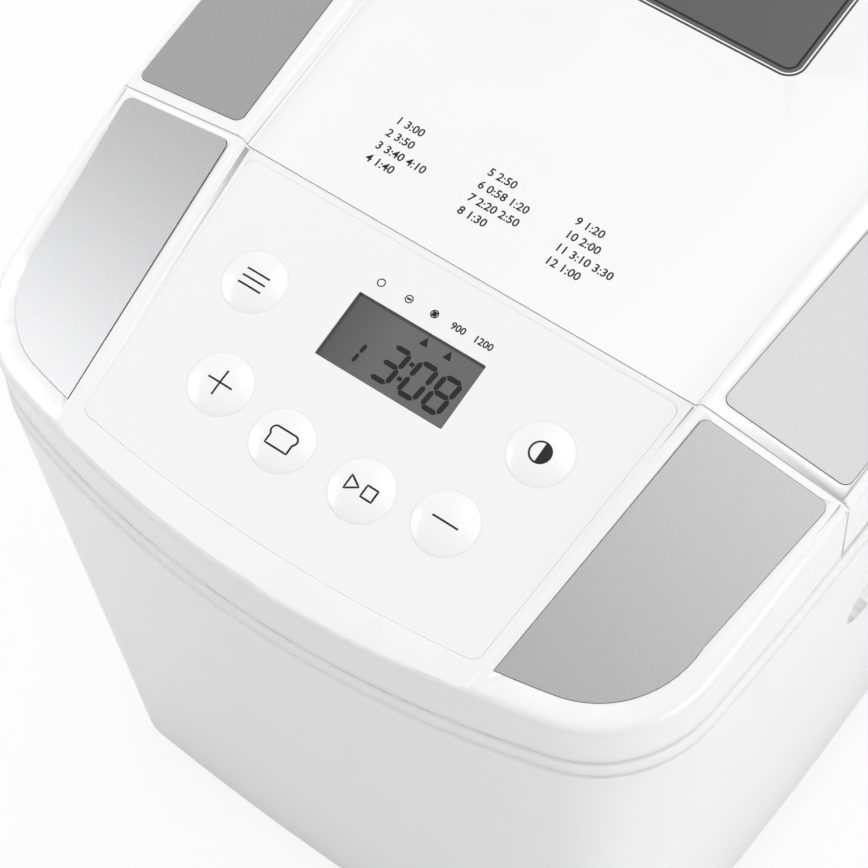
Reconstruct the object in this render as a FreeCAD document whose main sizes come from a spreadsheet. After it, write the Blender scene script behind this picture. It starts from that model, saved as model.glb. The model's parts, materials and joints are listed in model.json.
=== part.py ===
import FreeCAD, Part
import math
import os

import Sketcher

# Countertop bread machine. Millimetres, +Z up, front towards -Y, origin on the floor
# at the middle of the footprint. Every driving dimension is one cell of the sheet below.

V = FreeCAD.Vector

SIZES = {
    # lower housing: plan at the step line, plan at the base, heights
    "body_half": 132.3,
    "body_front": 180.0,
    "body_back": 180.0,
    "widest_y": 25.0,
    "front_arc": 342.0,
    "side_arc": 1550.0,
    "back_arc": 2500.0,
    "front_corner": 42.0,
    "back_corner": 40.0,
    "base_side_in": 13.5,
    "base_front_in": 6.0,
    "base_back_in": 6.0,
    "base_front_arc": 1200.0,
    "base_corner": 16.0,
    "foot_height": 7.0,
    "foot_radius": 13.0,
    "foot_in": 44.3,
    "foot_y": 140.0,
    "plate_thick": 3.0,
    "line_low": 251.5,
    "line_top": 259.5,
    "step_out": 0.8,
    "wall": 2.6,
    "fit_gap": 0.3,
    # carrying grips, air slots and cord inlet of the lower housing
    "grip_half_y": 55.0,
    "grip_half_z": 17.0,
    "grip_z": 182.0,
    "grip_depth": 14.0,
    "slot_wide": 4.0,
    "slot_tall": 44.0,
    "slot_pitch": 10.0,
    "slot_count": 9,
    "inlet_x": 66.0,
    "inlet_z": 40.0,
    "inlet_radius": 9.0,
    # roof of the control deck and of the lid
    "lid_top": 297.5,
    "seam_y": -69.5,
    "seam_gap": 1.0,
    "deck_tilt": 6.5,
    "wing_slope": 12.0,
    "crease_seam_in": 55.3,
    "crease_front_in": 65.0,
    "crease_back_in": 46.3,
    "step_wide": 4.0,
    "step_rise": 2.7,
    "step_rise_front": 0.15,
    "step_over": 0.05,
    "ridge_round": 3.5,
    "rim_round": 3.4,
    "skin": 2.5,
    "lid_gap": 0.7,
    "tray_thick": 3.0,
    "well_in": 44.3,
    # control panel, measured along the sloping deck from the seam
    "overlay_back": 2.8,
    "overlay_back_in": 1.8,
    "overlay_front": 93.3,
    "overlay_front_out": 1.5,
    "overlay_bow": 4.6,
    "overlay_round": 3.5,
    "film": 0.5,
    "film_gap": 0.1,
    "lcd_half_x": 22.0,
    "lcd_half_v": 11.1,
    "lcd_v": 32.2,
    "lens_thick": 1.0,
    "lens_sink": 0.5,
    "key_radius": 9.7,
    "key_gap": 0.3,
    "key_dome": 1.5,
    "key_edge": 0.2,
    "key_travel": 0.8,
    "key_stem": 3.0,
    "upper_key_x": 49.9,
    "upper_key_v": 34.7,
    "sign_key_x": 39.2,
    "sign_key_v": 65.4,
    "lower_key_x": 13.9,
    "lower_key_v": 70.0,
    "board_drop": 14.0,
    "board_thick": 1.6,
    "board_half_x": 66.0,
    "board_back": 12.0,
    "board_front": 90.0,
    "switch_tall": 4.0,
    "switch_half": 3.0,
    # silver inlays of the deck and the lid
    "inlay_thick": 1.3,
    "inlay_seat": 1.0,
    "inlay_gap": 0.2,
    "inlay_seam": 2.9,
    "inlay_corner": 2.5,
    "inlay_off_crease": 5.6,
    "inlay_out_in": 9.2,
    "inlay_side_in": 16.3,
    "inlay_side_y": 124.0,
    "inlay_nose_in": 40.3,
    "inlay_tip_off": 7.0,
    "inlay_margin": 8.6,
    "lid_inlay_seam": 4.0,
    "lid_inlay_off": 6.9,
    "lid_inlay_back_in": 35.3,
    "lid_inlay_margin": 3.8,
    "lid_inlay_back": 118.0,
    "lid_inlay_side_back": 92.0,
    # lid window, liner, seal and hinge
    "window_half_x": 44.0,
    "window_front": 35.5,
    "window_back": 119.5,
    "window_round": 6.0,
    "window_lip": 5.0,
    "glass": 3.2,
    "gasket": 1.0,
    "pane_gap": 0.2,
    "pane_bevel": 1.0,
    "liner_lift": 3.0,
    "liner_thick": 2.0,
    "liner_back": 160.0,
    "seal_wide": 6.0,
    "seal_gap": 0.3,
    "lid_screw_in": 14.3,
    "lid_screw_front": -30.0,
    "lid_screw_back": 120.0,
    "lid_boss": 4.0,
    "hinge_y": 173.0,
    "hinge_x": 62.0,
    "hinge_gap": 0.5,
    "ear_wide": 8.0,
    "ear_radius": 4.0,
    "boss_wide": 7.5,
    "pin_radius": 2.5,
    "running": 0.05,
    "steam_slot": 3.0,
    "steam_count": 7,
    # oven chamber, heater and pan
    "pan_y": 52.0,
    "chamber_in": 24.3,
    "chamber_half_y": 98.0,
    "chamber_round": 24.0,
    "chamber_floor": 62.0,
    "sheet": 0.8,
    "flange": 6.0,
    "heater_radius": 3.25,
    "heater_in": 11.0,
    "heater_half_y": 86.0,
    "heater_bend": 28.0,
    "heater_z": 88.0,
    "heater_leg_x": 14.0,
    "heater_leg_bend": 10.0,
    "heater_out": 14.0,
    "probe_radius": 3.0,
    "probe_x": 46.0,
    "probe_z": 112.0,
    "pan_floor": 80.0,
    "pan_rim": 220.0,
    "pan_room": 20.0,
    "pan_half_y": 66.0,
    "pan_taper": 8.0,
    "pan_base_half_y": 58.0,
    "pan_round": 20.0,
    "pan_base_round": 16.0,
    "pan_wall": 1.6,
    "pan_lip": 4.0,
    "pan_lip_thick": 2.0,
    "socket_wall": 5.0,
    "socket_tall": 11.0,
    "pan_ring": 46.0,
    "pan_ring_wall": 4.0,
    "bail_radius": 2.5,
    "bail_out": 7.0,
    "bail_reach": 80.0,
    "bail_bend": 14.0,
    "bail_z": 210.0,
    "ear_half_y": 9.0,
    "ear_half_z": 7.0,
    "ear_out": 3.2,
    # paddle, drive and motor
    "shaft_radius": 4.0,
    "bush_radius": 11.0,
    "bush_flange": 16.0,
    "paddle_reach": 48.0,
    "paddle_tall": 30.0,
    "paddle_thick": 5.0,
    "paddle_hub": 9.0,
    "paddle_lift": 2.5,
    "dog_radius": 13.0,
    "dog_tall": 7.0,
    "dog_wide": 6.0,
    "chassis_z": 44.0,
    "chassis_thick": 3.0,
    "pulley_z": 28.0,
    "pulley_tall": 12.0,
    "pulley_radius": 50.0,
    "pulley_flange": 3.5,
    "pulley_rim": 1.5,
    "motor_pulley_radius": 10.0,
    "belt_thick": 2.2,
    "belt_gap": 0.6,
    "motor_x": -45.0,
    "motor_y": -112.0,
    "motor_radius": 40.0,
    "motor_tall": 51.0,
    "motor_foot": 37.0,
    "motor_foot_thick": 3.0,
    "grommet": 3.0,
    "grommet_radius": 5.5,
    "grommet_offset": 30.0,
    "fan_radius": 33.0,
    "fan_tall": 9.0,
    "fan_blades": 7,
    "leg_radius": 6.0,
    "screw_radius": 2.0,
    "screw_head": 4.0,
    "screw_head_tall": 1.6,
    "screw_long": 13.0,
    "screw_gap": 0.2,
    # electrics on the base plate
    "power_in": 64.3,
    "power_y": -112.0,
    "power_half_x": 38.0,
    "power_half_y": 36.0,
    "power_lift": 12.0,
    "post_radius": 3.5,
    "capacitor_x": 17.0,
    "capacitor_y": -66.0,
    "capacitor_radius": 12.0,
    "capacitor_tall": 46.0,
    "fuse_radius": 4.0,
    "fuse_long": 24.0,
    "fuse_z": 150.0,
}

doc = FreeCAD.newDocument("bread_machine")
sheet = doc.addObject("Spreadsheet::Sheet", "sizes")
for row, (alias, value) in enumerate(SIZES.items(), start=1):
    sheet.set(f"A{row}", alias)
    sheet.set(f"B{row}", str(value))
    sheet.setAlias(f"B{row}", alias)
doc.recompute()


# Widths that follow from the cells: each is a driving width and a named distance
DERIVED = {
    "foot_x": lambda c: c.body_half - c.foot_in,
    "lid_screw_x": lambda c: c.body_half - c.lid_screw_in,
    "power_x": lambda c: c.body_half - c.power_in,
    "crease_seam": lambda c: c.body_half - c.crease_seam_in,
    "crease_front": lambda c: c.body_half - c.crease_front_in,
    "crease_back": lambda c: c.body_half - c.crease_back_in,
    "overlay_back_half": lambda c: c.crease_seam - c.overlay_back_in,
    "overlay_front_half": lambda c: c.crease_front + c.overlay_front_out,
    "inlay_in_back": lambda c: c.crease_seam + c.inlay_off_crease,
    "inlay_out_back": lambda c: c.body_half - c.inlay_out_in,
    "inlay_side_x": lambda c: c.body_half - c.inlay_side_in,
    "inlay_nose_x": lambda c: c.body_half - c.inlay_nose_in,
    "inlay_tip_x": lambda c: c.crease_front + c.inlay_tip_off,
    "lid_inlay_in": lambda c: c.crease_seam + c.lid_inlay_off,
    "lid_inlay_in_back": lambda c: c.body_half - c.lid_inlay_back_in,
    "chamber_half_x": lambda c: c.body_half - c.chamber_in,
    "heater_half_x": lambda c: c.chamber_half_x - c.heater_in,
    "pan_half_x": lambda c: c.chamber_half_x - c.pan_room,
    "pan_base_half_x": lambda c: c.pan_half_x - c.pan_taper,
    "bail_x": lambda c: c.pan_half_x + c.bail_out,
}


class Cells:
    """Read a cell of the sheet by its alias, as in S.wall."""

    def __getattr__(self, alias):
        if alias in DERIVED:
            return DERIVED[alias](self)
        return float(sheet.get(alias))


S = Cells()
nodes = {}


# Helpers for bodies, sketches and features

def new_body(label):
    """Start a solid-modelling body."""
    body = doc.addObject("PartDesign::Body", label)
    body.Label = label
    return body


def new_sketch(body, role, at=None, offset=None):
    """Attach a sketch to an origin plane, shifted by an expression or by a placement."""
    plane = next(item for item in body.Origin.OriginFeatures if item.Role == role)
    sketch = body.newObject("Sketcher::SketchObject", "sketch")
    sketch.AttachmentSupport = (plane, [""])
    sketch.MapMode = "FlatFace"
    if offset is not None:
        sketch.AttachmentOffset = offset
    if at is not None:
        sketch.setExpression("AttachmentOffset.Base.z", at)
    return sketch


def draw(sketch, path, closed=True):
    """Draw an outline: a point is reached by a line, a (middle, end) pair by an arc."""
    here = path[0]
    for step in path[1:] + ([path[0]] if closed else []):
        if isinstance(step[0], tuple):
            middle, end = step
            sketch.addGeometry(Part.Arc(V(*here, 0), V(*middle, 0), V(*end, 0)))
        else:
            end = step
            if math.dist(here, end) > 1e-6:
                sketch.addGeometry(Part.LineSegment(V(*here, 0), V(*end, 0)))
        here = end
    return sketch


def circle(sketch, x, y, radius):
    """Draw a circle whose radius is an expression on the sheet."""
    index = sketch.addGeometry(Part.Circle(V(x, y, 0), V(0, 0, 1), 1.0))
    rule = sketch.addConstraint(Sketcher.Constraint("Radius", index, 1.0))
    sketch.setExpression(f"Constraints[{rule}]", radius)
    return sketch


def rounded(x, y, half_x, half_y, corner):
    """Outline of a rectangle with round corners."""
    cut = corner * (1 - math.sqrt(0.5))
    left, right = x - half_x, x + half_x
    low, high = y - half_y, y + half_y
    return [
        (left + corner, low), (right - corner, low),
        ((right - cut, low + cut), (right, low + corner)), (right, high - corner),
        ((right - cut, high - cut), (right - corner, high)), (left + corner, high),
        ((left + cut, high - cut), (left, high - corner)), (left, low + corner),
        ((left + cut, low + cut), (left + corner, low)),
    ]


def pad(body, sketch, length, reverse=False):
    """Raise a sketch by an expression."""
    feature = body.newObject("PartDesign::Pad", "pad")
    feature.Profile = sketch
    feature.setExpression("Length", length)
    feature.Reversed = reverse
    doc.recompute()
    return feature


def pocket(body, sketch, length, reverse=False):
    """Cut a sketch into the body by an expression, and make sure that it cuts."""
    before = body.Shape.Volume
    feature = body.newObject("PartDesign::Pocket", "pocket")
    feature.Profile = sketch
    feature.setExpression("Length", length)
    feature.Reversed = reverse
    doc.recompute()
    if body.Shape.Volume > before - 1e-6:
        raise ValueError(f"{body.Label}: a pocket cuts nothing")
    return feature


def loft(body, kind, first, second):
    """Join two sketches with ruled faces, adding or subtracting."""
    feature = body.newObject("PartDesign::" + kind, "loft")
    feature.Profile = first
    feature.Sections = [second]
    feature.Ruled = True
    doc.recompute()
    return feature


def revolve(body, sketch):
    """Turn a sketch of the XZ plane about the vertical axis."""
    feature = body.newObject("PartDesign::Revolution", "turn")
    feature.Profile = sketch
    feature.ReferenceAxis = (sketch, ["V_Axis"])
    feature.Angle = 360
    doc.recompute()
    return feature


def combine(kind, label, first, *others):
    """Boolean of whole objects: Part::Cut takes two, Part::MultiFuse takes any number."""
    result = doc.addObject(kind, label)
    result.Label = label
    if kind == "Part::Cut":
        result.Base = first
        result.Tool = others[0]
    else:
        result.Shapes = [first, *others]
    doc.recompute()
    return result


def keep(thing):
    """Register a finished sub-part under its own name."""
    nodes[thing.Label] = thing
    return thing


def group(label, shapes):
    """One node of several like, separate solids."""
    thing = doc.addObject("Part::Feature", label)
    thing.Label = label
    thing.Shape = Part.makeCompound(shapes)
    return keep(thing)


def turned(label, profile, x=0.0, y=0.0):
    """Body turned from an (r, z) profile about the vertical line through x, y."""
    body = new_body(label)
    revolve(body, draw(new_sketch(body, "XZ_Plane"), profile))
    body.Placement.Base = V(x, y, 0)
    return body


# Plan outlines

def meet(c1, r1, c2, r2, sign_y):
    """Crossing of two circles on the right, taken at the front (-1) or the back (+1)."""
    d = math.dist(c1, c2)
    a = (d * d + r1 * r1 - r2 * r2) / (2 * d)
    h = math.sqrt(r1 * r1 - a * a)
    ex, ey = (c2[0] - c1[0]) / d, (c2[1] - c1[1]) / d
    spots = [(c1[0] + a * ex + k * h * ey, c1[1] + a * ey - k * h * ex) for k in (1, -1)]
    return max(spots, key=lambda spot: (spot[0] > 0, sign_y * spot[1]))


def towards(centre, through, radius):
    """Point of a circle in the direction of another point."""
    d = math.dist(centre, through)
    return tuple(c + (t - c) * radius / d for c, t in zip(centre, through))


def barrel(half, front, back, front_arc, front_corner, back_corner, inset=0.0):
    """Barrel-shaped plan of eight arcs: bowed front, bowed sides, nearly flat back."""
    half, front, back = half - inset, front - inset, back - inset
    arc_f, arc_s, arc_b = front_arc - inset, S.side_arc - inset, S.back_arc - inset
    corner_f, corner_b = front_corner - inset, back_corner - inset
    mid_f, mid_s, mid_b = (0, arc_f - front), (half - arc_s, S.widest_y), (0, back - arc_b)
    cf = meet(mid_f, arc_f - corner_f, mid_s, arc_s - corner_f, -1)
    cb = meet(mid_b, arc_b - corner_b, mid_s, arc_s - corner_b, 1)
    p1, p2 = towards(mid_f, cf, arc_f), towards(mid_s, cf, arc_s)
    p3, p4 = towards(mid_s, cb, arc_s), towards(mid_b, cb, arc_b)
    m12 = towards(cf, ((p1[0] + p2[0]) / 2, (p1[1] + p2[1]) / 2), corner_f)
    m34 = towards(cb, ((p3[0] + p4[0]) / 2, (p3[1] + p4[1]) / 2), corner_b)

    def flip(p):
        return (-p[0], p[1])

    return [
        flip(p1), ((0, -front), p1), (m12, p2), ((half, S.widest_y), p3), (m34, p4),
        ((0, back), flip(p4)), (flip(m34), flip(p3)), ((-half, S.widest_y), flip(p2)),
        (flip(m12), flip(p1)),
    ]


def top_plan(inset=0.0):
    """Plan of the housing at its step line."""
    return barrel(S.body_half, S.body_front, S.body_back, S.front_arc,
                  S.front_corner, S.back_corner, inset)


def base_plan(inset=0.0):
    """Plan of the housing at its foot."""
    return barrel(S.body_half - S.base_side_in, S.body_front - S.base_front_in,
                  S.body_back - S.base_back_in, S.base_front_arc,
                  S.base_corner, S.base_corner, inset)


cap_in = 2 * S.step_out
cap_half = S.body_half - cap_in
cap_back = S.body_back - cap_in
tray_inset = S.step_out + S.wall + S.fit_gap


def cap_side(y, inset=0.0):
    """Half width of the deck and the lid at a depth y."""
    arc = S.side_arc - cap_in - inset
    return cap_half - inset - arc + math.sqrt(arc ** 2 - (y - S.widest_y) ** 2)


def cap_front(x, inset=0.0):
    """Depth of the bowed front of the deck at a width x."""
    arc = S.front_arc - cap_in - inset
    return arc - (S.body_front - cap_in - inset) - math.sqrt(arc ** 2 - x ** 2)


# Lower housing: tapered shell with a stepped top band, grips, air slots and inlet

def outer_housing():
    outer = new_body("housing_outer")
    foot = draw(new_sketch(outer, "XY_Plane", "sizes.foot_height"), base_plan())
    line = draw(new_sketch(outer, "XY_Plane", "sizes.line_low"), top_plan())
    loft(outer, "AdditiveLoft", foot, line)
    band = draw(new_sketch(outer, "XY_Plane", "sizes.line_low"), top_plan(S.step_out))
    pad(outer, band, "sizes.line_top - sizes.line_low")
    grip_plan = rounded(0, S.grip_z, S.grip_half_y, S.grip_half_z, S.grip_half_z * 0.98)
    grip_floor = "sizes.body_half - sizes.grip_depth - sizes.wall"
    for side in (1, -1):
        grip = draw(new_sketch(outer, "YZ_Plane", f"{side} * ({grip_floor})"), grip_plan)
        pocket(outer, grip, "sizes.body_half", reverse=side > 0)
    slots = new_sketch(outer, "XZ_Plane", "-sizes.body_back + sizes.wall * 6")
    for i in range(int(S.slot_count)):
        x = (i - (S.slot_count - 1) / 2) * S.slot_pitch
        draw(slots, rounded(x, S.inlet_z + S.slot_tall, S.slot_wide / 2, S.slot_tall / 2,
                            S.slot_wide * 0.49))
    pocket(outer, slots, "sizes.wall * 12")
    inlet = new_sketch(outer, "XZ_Plane", "-sizes.body_back + sizes.wall * 6")
    circle(inlet, S.inlet_x, S.inlet_z, "sizes.inlet_radius + sizes.fit_gap")
    pocket(outer, inlet, "sizes.wall * 12")

    core = new_body("housing_core")
    foot = draw(new_sketch(core, "XY_Plane", "sizes.foot_height"), base_plan(S.wall))
    line = draw(new_sketch(core, "XY_Plane", "sizes.line_low"), top_plan(S.wall + S.step_out))
    loft(core, "AdditiveLoft", foot, line)
    neck = draw(new_sketch(core, "XY_Plane", "sizes.line_low"), top_plan(S.wall + S.step_out))
    pad(core, neck, "sizes.line_top - sizes.line_low")
    block = rounded(0, S.grip_z, S.grip_half_y + S.wall, S.grip_half_z + S.wall, S.grip_half_z)
    for side in (1, -1):
        shell = new_sketch(core, "YZ_Plane", f"{side} * ({grip_floor} - sizes.wall)")
        pocket(core, draw(shell, block), "sizes.body_half", reverse=side > 0)
    return keep(combine("Part::Cut", "outer_housing", outer, core))


# Base plate, feet and screws

leg_spots = [
    (-72.0, S.pan_y - 84.0), (72.0, S.pan_y - 84.0), (-72.0, S.pan_y + 58.0), (72.0, S.pan_y + 58.0),
    (S.motor_x - S.motor_foot, S.motor_y - S.motor_foot), (S.motor_x + S.motor_foot, S.motor_y - S.motor_foot),
]
foot_spots = [(i * S.foot_x, j * S.foot_y) for i in (-1, 1) for j in (-1, 1)]
plate_top = S.foot_height + S.plate_thick
power_spots = [(S.power_x + i * (S.power_half_x - 6), S.power_y + j * (S.power_half_y - 6))
               for i in (-1, 1) for j in (-1, 1)]


def base_plate():
    body = new_body("base_plate")
    plan = new_sketch(body, "XY_Plane", "sizes.foot_height")
    pad(body, draw(plan, base_plan(S.wall + S.fit_gap)), "sizes.plate_thick")
    posts = new_sketch(body, "XY_Plane", "sizes.foot_height")
    for x, y in power_spots:
        circle(posts, x, y, "sizes.post_radius")
    pad(body, posts, "sizes.plate_thick + sizes.power_lift")
    holes = new_sketch(body, "XY_Plane", "sizes.foot_height")
    heads = new_sketch(body, "XY_Plane", "sizes.foot_height")
    for x, y in leg_spots:
        circle(holes, x, y, "sizes.screw_radius + sizes.screw_gap")
        circle(heads, x, y, "sizes.screw_head + sizes.screw_gap")
    for x, y in foot_spots:
        circle(holes, x, y, "sizes.foot_radius / 3 + sizes.screw_gap")
    pocket(body, holes, "sizes.plate_thick", reverse=True)
    pocket(body, heads, "sizes.screw_head_tall", reverse=True)
    slots = new_sketch(body, "XY_Plane", "sizes.foot_height")
    for i in range(int(S.slot_count)):
        x = (i - (S.slot_count - 1) / 2) * S.slot_pitch
        draw(slots, rounded(x, S.pan_y + 4, S.slot_wide / 2, S.slot_tall / 2, S.slot_wide * 0.49))
    pocket(body, slots, "sizes.plate_thick", reverse=True)
    return keep(body)


def rubber_feet():
    r = S.foot_radius
    profile = [(0, 0), (r - 2, 0), (r, 2), (r, S.foot_height), (r / 3, S.foot_height),
               (r / 3, plate_top), (0, plate_top)]
    foot = turned("foot", profile)
    return group("rubber_feet", [foot.Shape.translated(V(x, y, 0)) for x, y in foot_spots])


def screw_profile(bottom):
    """Half section of a pan-head screw whose head starts at a height, point up."""
    neck = bottom + S.screw_head_tall
    return [(0, bottom), (S.screw_head - 0.6, bottom), (S.screw_head, bottom + 0.6),
            (S.screw_head, neck - S.screw_gap), (S.screw_radius, neck - S.screw_gap),
            (S.screw_radius, neck + S.screw_long - 2), (0, neck + S.screw_long)]


def base_screws():
    screw = turned("base_screw", screw_profile(S.foot_height))
    return group("base_screws", [screw.Shape.translated(V(x, y, 0)) for x, y in leg_spots])


# Roof of the deck and the lid: flat middle, S-shaped step up to a ridge, sloping wings

roof_high = S.lid_top + 12
roof_reach = S.body_half + 12
front_plane = S.body_front + 5
back_plane = S.body_back + 5
slope = math.radians(S.wing_slope)
tilt = math.tan(math.radians(S.deck_tilt))


def ridge_points(crease, rise, level):
    """Ridge of the right wing: its crown, its rounding and the run down to the reach."""
    ridge, top = crease + S.step_wide, level + rise
    round_x, round_z = S.ridge_round * math.sin(slope), S.ridge_round * (1 - math.cos(slope))
    mid_x, mid_z = S.ridge_round * math.sin(slope / 2), S.ridge_round * (1 - math.cos(slope / 2))
    end = (ridge + round_x, top - round_z)
    out = (roof_reach, end[1] - (roof_reach - end[0]) * math.tan(slope))
    return (ridge, top), (ridge + mid_x, top - mid_z), end, out


def plateau(crease, rise, level):
    """Outline of the space above a roof of one plateau between two sloping wings."""
    crown, middle, end, out = ridge_points(crease, rise, level)
    return [(-out[0], out[1]), (-end[0], end[1]), ((-middle[0], middle[1]), (-crown[0], crown[1])),
            crown, (middle, end), out, (out[0], roof_high), (-out[0], roof_high)]


def channel(crease, rise, level):
    """Outline of the channel between the ridges: a flat floor and S-shaped sides of two arcs each."""
    rise = rise + S.step_over
    wide, r = S.step_wide, (S.step_wide ** 2 + rise ** 2) / (4 * rise)
    half_turn = math.asin(wide / 2 / r) / 2
    dx, dz = r * math.sin(half_turn), r * (1 - math.cos(half_turn))
    ridge, top = crease + wide, level + rise
    low, middle, high = (crease + dx, level + dz), (crease + wide / 2, level + rise / 2), (ridge - dx, top - dz)
    return [(-ridge, top), ((-high[0], high[1]), (-middle[0], middle[1])), ((-low[0], low[1]), (-crease, level)),
            (crease, level), (low, middle), (high, (ridge, top)), (ridge, roof_high), (-ridge, roof_high)]


def ridge_end(crease, rise, level, y):
    """Point where the ridge rounding runs out into the flat right wing."""
    return V(crease + S.step_wide + S.ridge_round * math.sin(slope), y,
             level + rise - S.ridge_round * (1 - math.cos(slope)))


deck_front_level = S.lid_top - (front_plane + S.seam_y) * tilt
deck_ridge = ridge_end(S.crease_seam, S.step_rise, S.lid_top, S.seam_y)
deck_ridge_front = ridge_end(S.crease_front, S.step_rise_front, deck_front_level, -front_plane)
lid_ridge = deck_ridge
lid_ridge_back = ridge_end(S.crease_back, S.step_rise, S.lid_top, back_plane)
panel = FreeCAD.Placement(V(0, S.seam_y, S.lid_top), FreeCAD.Rotation(V(1, 0, 0), S.deck_tilt))


def wing_plane(start, along):
    """Placement on the right wing: x runs down the slope, y along the ridge, z outwards."""
    u = V(math.cos(slope), 0, -math.sin(slope))
    n = u.cross(along).normalize()
    v = n.cross(u)
    return FreeCAD.Placement(FreeCAD.Matrix(
        u.x, v.x, n.x, start.x, u.y, v.y, n.y, start.y, u.z, v.z, n.z, start.z, 0, 0, 0, 1))


deck_wing = wing_plane(deck_ridge, deck_ridge - deck_ridge_front)
lid_wing = wing_plane(lid_ridge, lid_ridge_back - lid_ridge)


def on_wing(wing, x, y):
    """Local coordinates of the point of a wing straight above a plan point."""
    n = wing.Rotation.multVec(V(0, 0, 1))
    z = wing.Base.z - (n.x * (x - wing.Base.x) + n.y * (y - wing.Base.y)) / n.z
    spot = wing.inverse().multVec(V(x, y, z))
    return (spot.x, spot.y)


def bend(p, q, corner):
    """Middle of a smooth bend from p to q whose tangents meet at a corner."""
    return tuple((a + 2 * c + b) / 4 for a, b, c in zip(p, q, corner))


def crossing(p, u, q, v):
    """Crossing of two plan lines given by points and directions."""
    k = ((q[0] - p[0]) * v[1] - (q[1] - p[1]) * v[0]) / (u[0] * v[1] - u[1] * v[0])
    return (p[0] + k * u[0], p[1] + k * u[1])


def soft_corner(before, corner, after, radius):
    """Entry point, and arc to the exit point, that round a corner between two straight edges."""
    u = V(before[0] - corner[0], before[1] - corner[1], 0).normalize()
    w = V(after[0] - corner[0], after[1] - corner[1], 0).normalize()
    half = u.getAngle(w) / 2
    inward = (u + w).normalize()
    apex = V(*corner, 0)
    entry, leave = apex + u * (radius / math.tan(half)), apex + w * (radius / math.tan(half))
    middle = apex + inward * (radius / math.sin(half) - radius)
    return (entry.x, entry.y), ((middle.x, middle.y), (leave.x, leave.y))


def front_inlay_plan(grow=0.0):
    """Plan of the right front inlay: straight sides, round outer corner, bowed front."""
    back = S.seam_y - S.inlay_seam + grow
    inner, outer = (S.inlay_in_back - grow, back), (S.inlay_out_back + grow, back)
    side = (S.inlay_side_x + grow, -S.inlay_side_y)
    nose = (S.inlay_nose_x, cap_front(S.inlay_nose_x) + S.inlay_margin - grow)
    tip = (S.inlay_tip_x - grow, cap_front(S.inlay_tip_x) + S.inlay_margin - grow)
    mid_x = (S.inlay_nose_x + S.inlay_tip_x) / 2
    middle = (mid_x, cap_front(mid_x) + S.inlay_margin - grow)
    fall = (side[0] - outer[0], side[1] - outer[1])
    run = (1.0, S.inlay_nose_x / (S.front_arc - cap_in))
    corner = crossing(side, fall, nose, run)
    r = S.inlay_corner + grow
    return [*soft_corner(tip, inner, outer, r), *soft_corner(inner, outer, side, r), side,
            (bend(side, nose, corner), nose), (middle, tip)]


def lid_inlay_plan(grow=0.0):
    """Plan of the right lid inlay: it narrows towards the back and ends in a round corner."""
    front = S.seam_y + S.lid_inlay_seam - grow
    margin = S.lid_inlay_margin - grow
    inner = (S.lid_inlay_in - grow, front)
    outer = (cap_side(front, margin), front)
    side = (cap_side(S.lid_inlay_side_back, margin), S.lid_inlay_side_back)
    r = S.inlay_corner + grow
    turned_in, cut = (cap_side(front + r, margin), front + r), r * (1 - math.sqrt(0.5))
    middle_y = (front + S.lid_inlay_side_back) / 2
    middle = (cap_side(middle_y, margin), middle_y)
    back = (S.lid_inlay_in_back - grow, S.lid_inlay_back + grow)
    corner = (side[0], back[1])
    return [*soft_corner(back, inner, outer, r), (outer[0] - r, front), ((outer[0] - cut, front + cut), turned_in),
            (middle, side), (bend(side, back, corner), back)]


def wing_path(wing, plan):
    """Carry a plan outline straight up onto a wing."""
    return [tuple(on_wing(wing, *p) for p in step) if isinstance(step[0], tuple)
            else on_wing(wing, *step) for step in plan]


def mirrored(label, source):
    """Left-hand twin of a right-hand piece."""
    twin = doc.addObject("Part::Mirroring", label)
    twin.Label = label
    twin.Source = source
    twin.Normal = V(1, 0, 0)
    doc.recompute()
    return keep(twin)


def flipped(path):
    """Mirror image of an outline in its first coordinate."""
    return [tuple((-p[0], p[1]) for p in step) if isinstance(step[0], tuple)
            else (-step[0], step[1]) for step in path]


def cut_inlay_seats(body, wing, plan):
    """Sink the seats of a pair of inlays into the two wings of a cap."""
    seat = new_sketch(body, "XY_Plane", offset=wing)
    pocket(body, draw(seat, wing_path(wing, plan)), "sizes.inlay_seat")
    m = wing.toMatrix()
    left = FreeCAD.Placement(FreeCAD.Matrix(
        m.A11, -m.A12, -m.A13, -m.A14, -m.A21, m.A22, m.A23, m.A24,
        -m.A31, m.A32, m.A33, m.A34, 0, 0, 0, 1))
    seat = new_sketch(body, "XY_Plane", offset=left)
    pocket(body, draw(seat, flipped(wing_path(wing, plan))), "sizes.inlay_seat")


def inlays(stem, wing, plan):
    """Right inlay plate and its left twin."""
    right = new_body(stem + "_right")
    plate = draw(new_sketch(right, "XY_Plane", "-sizes.inlay_seat"), wing_path(wing, plan))
    pad(right, plate, "sizes.inlay_thick")
    right.Placement = wing
    doc.recompute()
    keep(right)
    mirrored(stem + "_left", right)


def round_rim(body, radius):
    """Round the edge between the outer wall and the roof of a deck or lid block."""
    names = []
    for i, edge in enumerate(body.Shape.Edges, start=1):
        spot = edge.valueAt((edge.FirstParameter + edge.LastParameter) / 2)
        box = edge.BoundBox
        wall = max(abs(spot.x) - cap_side(spot.y), cap_front(spot.x) - spot.y, spot.y - cap_back)
        level_run = max(box.XLength, box.YLength)
        if spot.z > S.line_top + 12 and wall > -14 and box.ZLength < level_run and on_wall(edge):
            names.append(f"Edge{i}")
    block = body.Tip
    feature = body.newObject("PartDesign::Fillet", "rim")
    feature.Base = (block, names)
    feature.setExpression("Radius", radius)
    doc.recompute()
    return feature


cap_wire = [None]


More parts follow.
